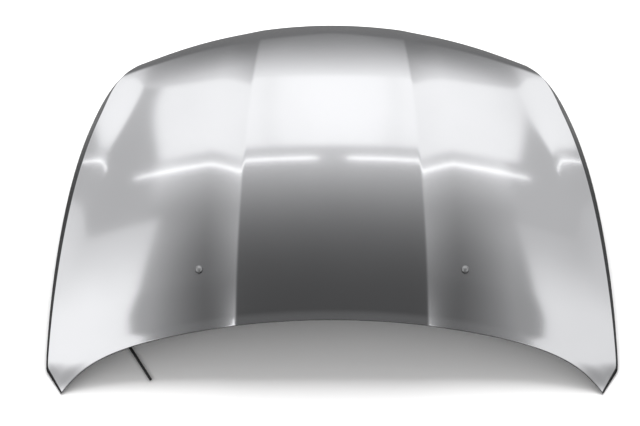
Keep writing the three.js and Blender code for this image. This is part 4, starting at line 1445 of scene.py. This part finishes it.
@dataclass
class LightBoxes:
    """The studio as the paint mirrors it, by direction.

    Angles are in degrees off straight up. side counts outwards on both sides, front counts
    towards the nose, and right is 1 on the right, where some parts stand a little further
    out and are a little dimmer. In a pair of angles a step or a ramp is 0 at the first and
    1 at the second.
    """

    x: Wire
    y: Wire
    z: Wire
    right_span: tuple[float, float] = (-0.1, 0.1)
    ceiling_tone: float = 0.08
    glow_power: float = 2.2
    nose_glow: tuple[float, float] = (3.0, 30.0)
    rear_glow: tuple[float, float] = (0.0, -12.0)
    rear_tone: float = 0.09
    side_glow: tuple[float, float] = (12.0, 30.0)
    side_tones: tuple[float, float] = (0.56, 0.13)         # tone, and less on the right
    side_dim: tuple[float, float] = (15.0, 22.0)
    # Edge of the walls: start, lean, fall to both ends, further out on the right
    rim: tuple[float, float, float, float] = (34.1, 0.04, 0.32, 2.0)
    rim_middle: float = 3.0
    rim_soft: float = 0.7
    wall_rear: tuple[float, float] = (-42.0, -22.0)
    wall_nose: tuple[float, float] = (20.4, 18.6)
    # Tone of the walls, less towards the nose, less on the right
    wall_tones: tuple[float, float, float] = (1.8, 0.5, 0.35)
    wall_dim: tuple[float, float] = (6.0, 18.0)
    flank_side: tuple[float, float] = (30.5, 33.5)
    flank_nose: tuple[float, float] = (19.0, 20.5)
    flank_tone: float = 0.85
    # Side edge of the box: start, lean, further out on the right
    box_reach: tuple[float, float, float] = (31.4, 0.35, 3.0)
    box_middle: float = 33.0
    box_front: tuple[float, float, float] = (33.5, 60.5, 0.9)    # from, to, soft
    # Tone of the box, less towards the side, less in the stripe
    box_tones: tuple[float, float, float] = (1.92, 0.2, 0.12)
    box_dim: tuple[float, float] = (4.0, 38.0)
    stripe: tuple[float, float] = (12.3, 0.16)                   # place and slant
    stripe_middle: float = 45.0
    stripe_edge: tuple[float, float] = (2.6, 0.6)
    beyond_from: tuple[float, float] = (59.5, 61.5)
    beyond_fall: tuple[float, float] = (84.0, 61.0)
    beyond_tones: tuple[float, float, float] = (0.35, 1.25, 0.3)    # least, more, less aside
    beyond_power: float = 1.6
    beyond_dim: tuple[float, float] = (20.0, 46.0)
    tube_front: tuple[float, float, float] = (29.6, 30.4, 0.3)   # from, to, soft
    tube_side: tuple[float, float] = (37.0, 35.0)
    tube_gap: tuple[float, float, float] = (-2.4, 2.6, 0.4)
    tube_tone: float = 2.6
    low_side: tuple[float, float] = (62.0, 67.0)
    low_out: tuple[float, float] = (0.5, 0.75)
    low_tone: float = 0.07
    low_rear: tuple[float, float] = (-48.0, -66.0)
    low_rear_tone: float = 0.03

    def __post_init__(self) -> None:
        """Works out the angles of the direction."""
        self.side = self.x.angle(self.z).size()
        self.front = self.y.angle(self.z)
        self.right = self.x.step(*self.right_span)

    def ceiling(self) -> Wire:
        """The dim ceiling, lighter towards the nose, the rear and both sides.

        Returns:
            Its tone.
        """
        tone = self.ceiling_tone + self.front.ramp(*self.nose_glow) ** self.glow_power
        tone = tone + self.front.ramp(*self.rear_glow) * self.rear_tone
        full, less = self.side_tones
        edge = (1.0 - self.front.step(*self.side_dim) * 0.5) * (full - self.right * less)
        return tone + self.side.ramp(*self.side_glow) ** self.glow_power * edge

    def with_walls(self, glow: Wire) -> Wire:
        """Adds the long boxes at both sides and the paler flanks before them.

        Args:
            glow: the tone so far.

        Returns:
            The tone with the walls.
        """
        start, lean, fall, further = self.rim
        past = self.front - self.rim_middle
        rim = start + past * lean - past.size() * fall + self.right * further
        wall = ((self.side - rim).step(-self.rim_soft, self.rim_soft)
                * self.front.step(*self.wall_rear) * self.front.step(*self.wall_nose))
        full, nose_less, right_less = self.wall_tones
        tone = full - self.front.step(*self.wall_dim) * nose_less - self.right * right_less
        flank = self.side.step(*self.flank_side) * self.front.step(*self.flank_nose)
        return glow.mixed(tone, wall).mixed(self.flank_tone, flank)

    def with_box(self, glow: Wire) -> Wire:
        """Adds the wide box over the nose, and what lies beyond it.

        Args:
            glow: the tone so far.

        Returns:
            The tone with the box.
        """
        reach, lean, further = self.box_reach
        reach = reach + (self.front - self.box_middle) * lean + self.right * further
        place, slant = self.stripe
        middle = place + (self.front - self.stripe_middle) * slant
        stripe = (self.side - middle).size().step(*self.stripe_edge)
        full, side_less, stripe_less = self.box_tones
        panel = full - self.side.ramp(*self.box_dim) * side_less - stripe * stripe_less
        box = (reach - self.side).step(-1.0, 1.0) * self.front.window(*self.box_front)
        least, growth, side_dim = self.beyond_tones
        beyond = least + self.front.ramp(*self.beyond_fall) ** self.beyond_power * growth
        beyond = beyond * (1.0 - self.side.ramp(*self.beyond_dim) * side_dim)
        return glow.mixed(beyond, self.front.step(*self.beyond_from)).mixed(panel, box)

    def with_tube(self, glow: Wire) -> Wire:
        """Adds the thin lamp across the ceiling, with its gap in the middle.

        Args:
            glow: the tone so far.

        Returns:
            The tone with the lamp.
        """
        gap = self.x.angle(self.z).window(*self.tube_gap)
        tube = (self.front.window(*self.tube_front) * self.side.step(*self.tube_side)
                * (1.0 - gap))
        return glow + tube * self.tube_tone

    def with_dark(self, glow: Wire) -> Wire:
        """Darkens what lies low at both sides and behind the rear edge.

        Args:
            glow: the tone so far.

        Returns:
            The tone with the dark parts.
        """
        low = self.side.step(*self.low_side) * self.x.size().step(*self.low_out)
        rear = self.front.step(*self.low_rear)
        return glow.mixed(self.low_tone, low).mixed(self.low_rear_tone, rear)

    def glow(self) -> Wire:
        """The tone in every direction."""
        tone = self.with_box(self.with_walls(self.ceiling()))
        return self.with_dark(self.with_tube(tone))


@dataclass
class Studio:
    """Floor, lights and camera of the photograph."""

    target: tuple[float, float, float] = (0.0, -0.0566, 0.1045)
    elevation: float = 74.0
    distance: float = 3.6
    lens: float = 79.58
    sensor: float = 36.0
    shift: float = -0.01875
    floor_size: float = 30.0
    floor_tone: float = 0.86
    floor_colour: tuple[float, float, float] = (1.03, 1.03, 1.035)
    lamp_place: tuple[float, float, float] = (0.0, 2.05, 2.45)
    lamp_tilt: float = -40.0
    lamp_size: tuple[float, float] = (3.4, 0.9)
    lamp_power: float = 150.0
    white: tuple[float, float, float] = (1.0, 0.995, 0.99)

    def camera(self) -> None:
        """Stands the camera over the rear edge."""
        tilt = math.radians(self.elevation)
        back = Vector((0.0, -math.cos(tilt), math.sin(tilt))) * self.distance
        bpy.ops.object.camera_add(location=Vector(self.target) + back,
                                  rotation=(math.radians(90.0 - self.elevation), 0.0, 0.0))
        camera = bpy.context.object
        camera.data.lens = self.lens
        camera.data.sensor_width = self.sensor
        camera.data.sensor_fit = "HORIZONTAL"
        camera.data.shift_x = self.shift
        camera.data.clip_end = 60.0
        bpy.context.scene.camera = camera

    def floor(self) -> None:
        """Lays the white floor."""
        bpy.ops.mesh.primitive_plane_add(size=self.floor_size, location=(0, 0, 0))
        floor = bpy.context.object
        floor.name = "studio_floor"
        made = bpy.data.materials.new("studio_floor")
        made.use_nodes = True
        sheet = Sheet(made.node_tree)
        tone = self.floor_tone
        grain = sheet.noise(0.8, 2.0)
        colour = sheet.blend(grain, (tone, tone, tone, 1.0),
                             (*(tone * part for part in self.floor_colour), 1.0))
        shader = sheet.node("ShaderNodeBsdfPrincipled", {}, {
            "Base Color": colour, "Roughness": 0.8, "Specular IOR Level": 0.1})
        sheet.node("ShaderNodeOutputMaterial", {}, {"Surface": shader})
        floor.data.materials.append(made)
        floor.visible_glossy = False

    def lights(self) -> None:
        """Hangs the soft lamp beyond the nose, which the paint doesn't mirror."""
        bpy.ops.object.light_add(type="AREA", location=self.lamp_place,
                                 rotation=(math.radians(self.lamp_tilt), 0.0, 0.0))
        lamp = bpy.context.object
        lamp.name = "soft_lamp"
        lamp.data.shape = "RECTANGLE"
        lamp.data.size, lamp.data.size_y = self.lamp_size
        lamp.data.energy = self.lamp_power
        lamp.visible_glossy = False
        lamp.visible_camera = False

    def surroundings(self) -> None:
        """Writes the light boxes into the world, and shows white to the camera."""
        world = bpy.data.worlds.new("studio")
        bpy.context.scene.world = world
        world.use_nodes = True
        sheet = Sheet(world.node_tree)
        direction = sheet.node("ShaderNodeTexCoord", {}, {}, "Generated")
        axes = [sheet.node("ShaderNodeSeparateXYZ", {}, {0: direction}, k) for k in range(3)]
        camera, through = (sheet.node("ShaderNodeLightPath", {}, {}, name)
                           for name in ("Is Camera Ray", "Is Transmission Ray"))
        strength = LightBoxes(*axes).glow().mixed(1.0, camera + through)
        shader = sheet.node("ShaderNodeBackground", {}, {
            "Color": (*self.white, 1.0), "Strength": strength})
        sheet.node("ShaderNodeOutputWorld", {}, {"Surface": shader})

    def build(self) -> None:
        """Sets up the studio."""
        self.camera()
        self.floor()
        self.lights()
        self.surroundings()
        bpy.context.scene.view_settings.view_transform = "Standard"


def main() -> None:
    """Builds the scene: camera and hose tail first, then the bonnet, then its finishes."""
    logging.basicConfig(level=logging.INFO, format="%(name)s: %(message)s")
    studio = Studio()
    studio.build()
    hoses = WasherHoses()
    hoses.tail()
    OuterSkin().build()
    for jet in hoses.jets:
        jet.build()
    hoses.build()
    StrikerLoop().build()
    dress_nodes()


if __name__ == "__main__":
    main()
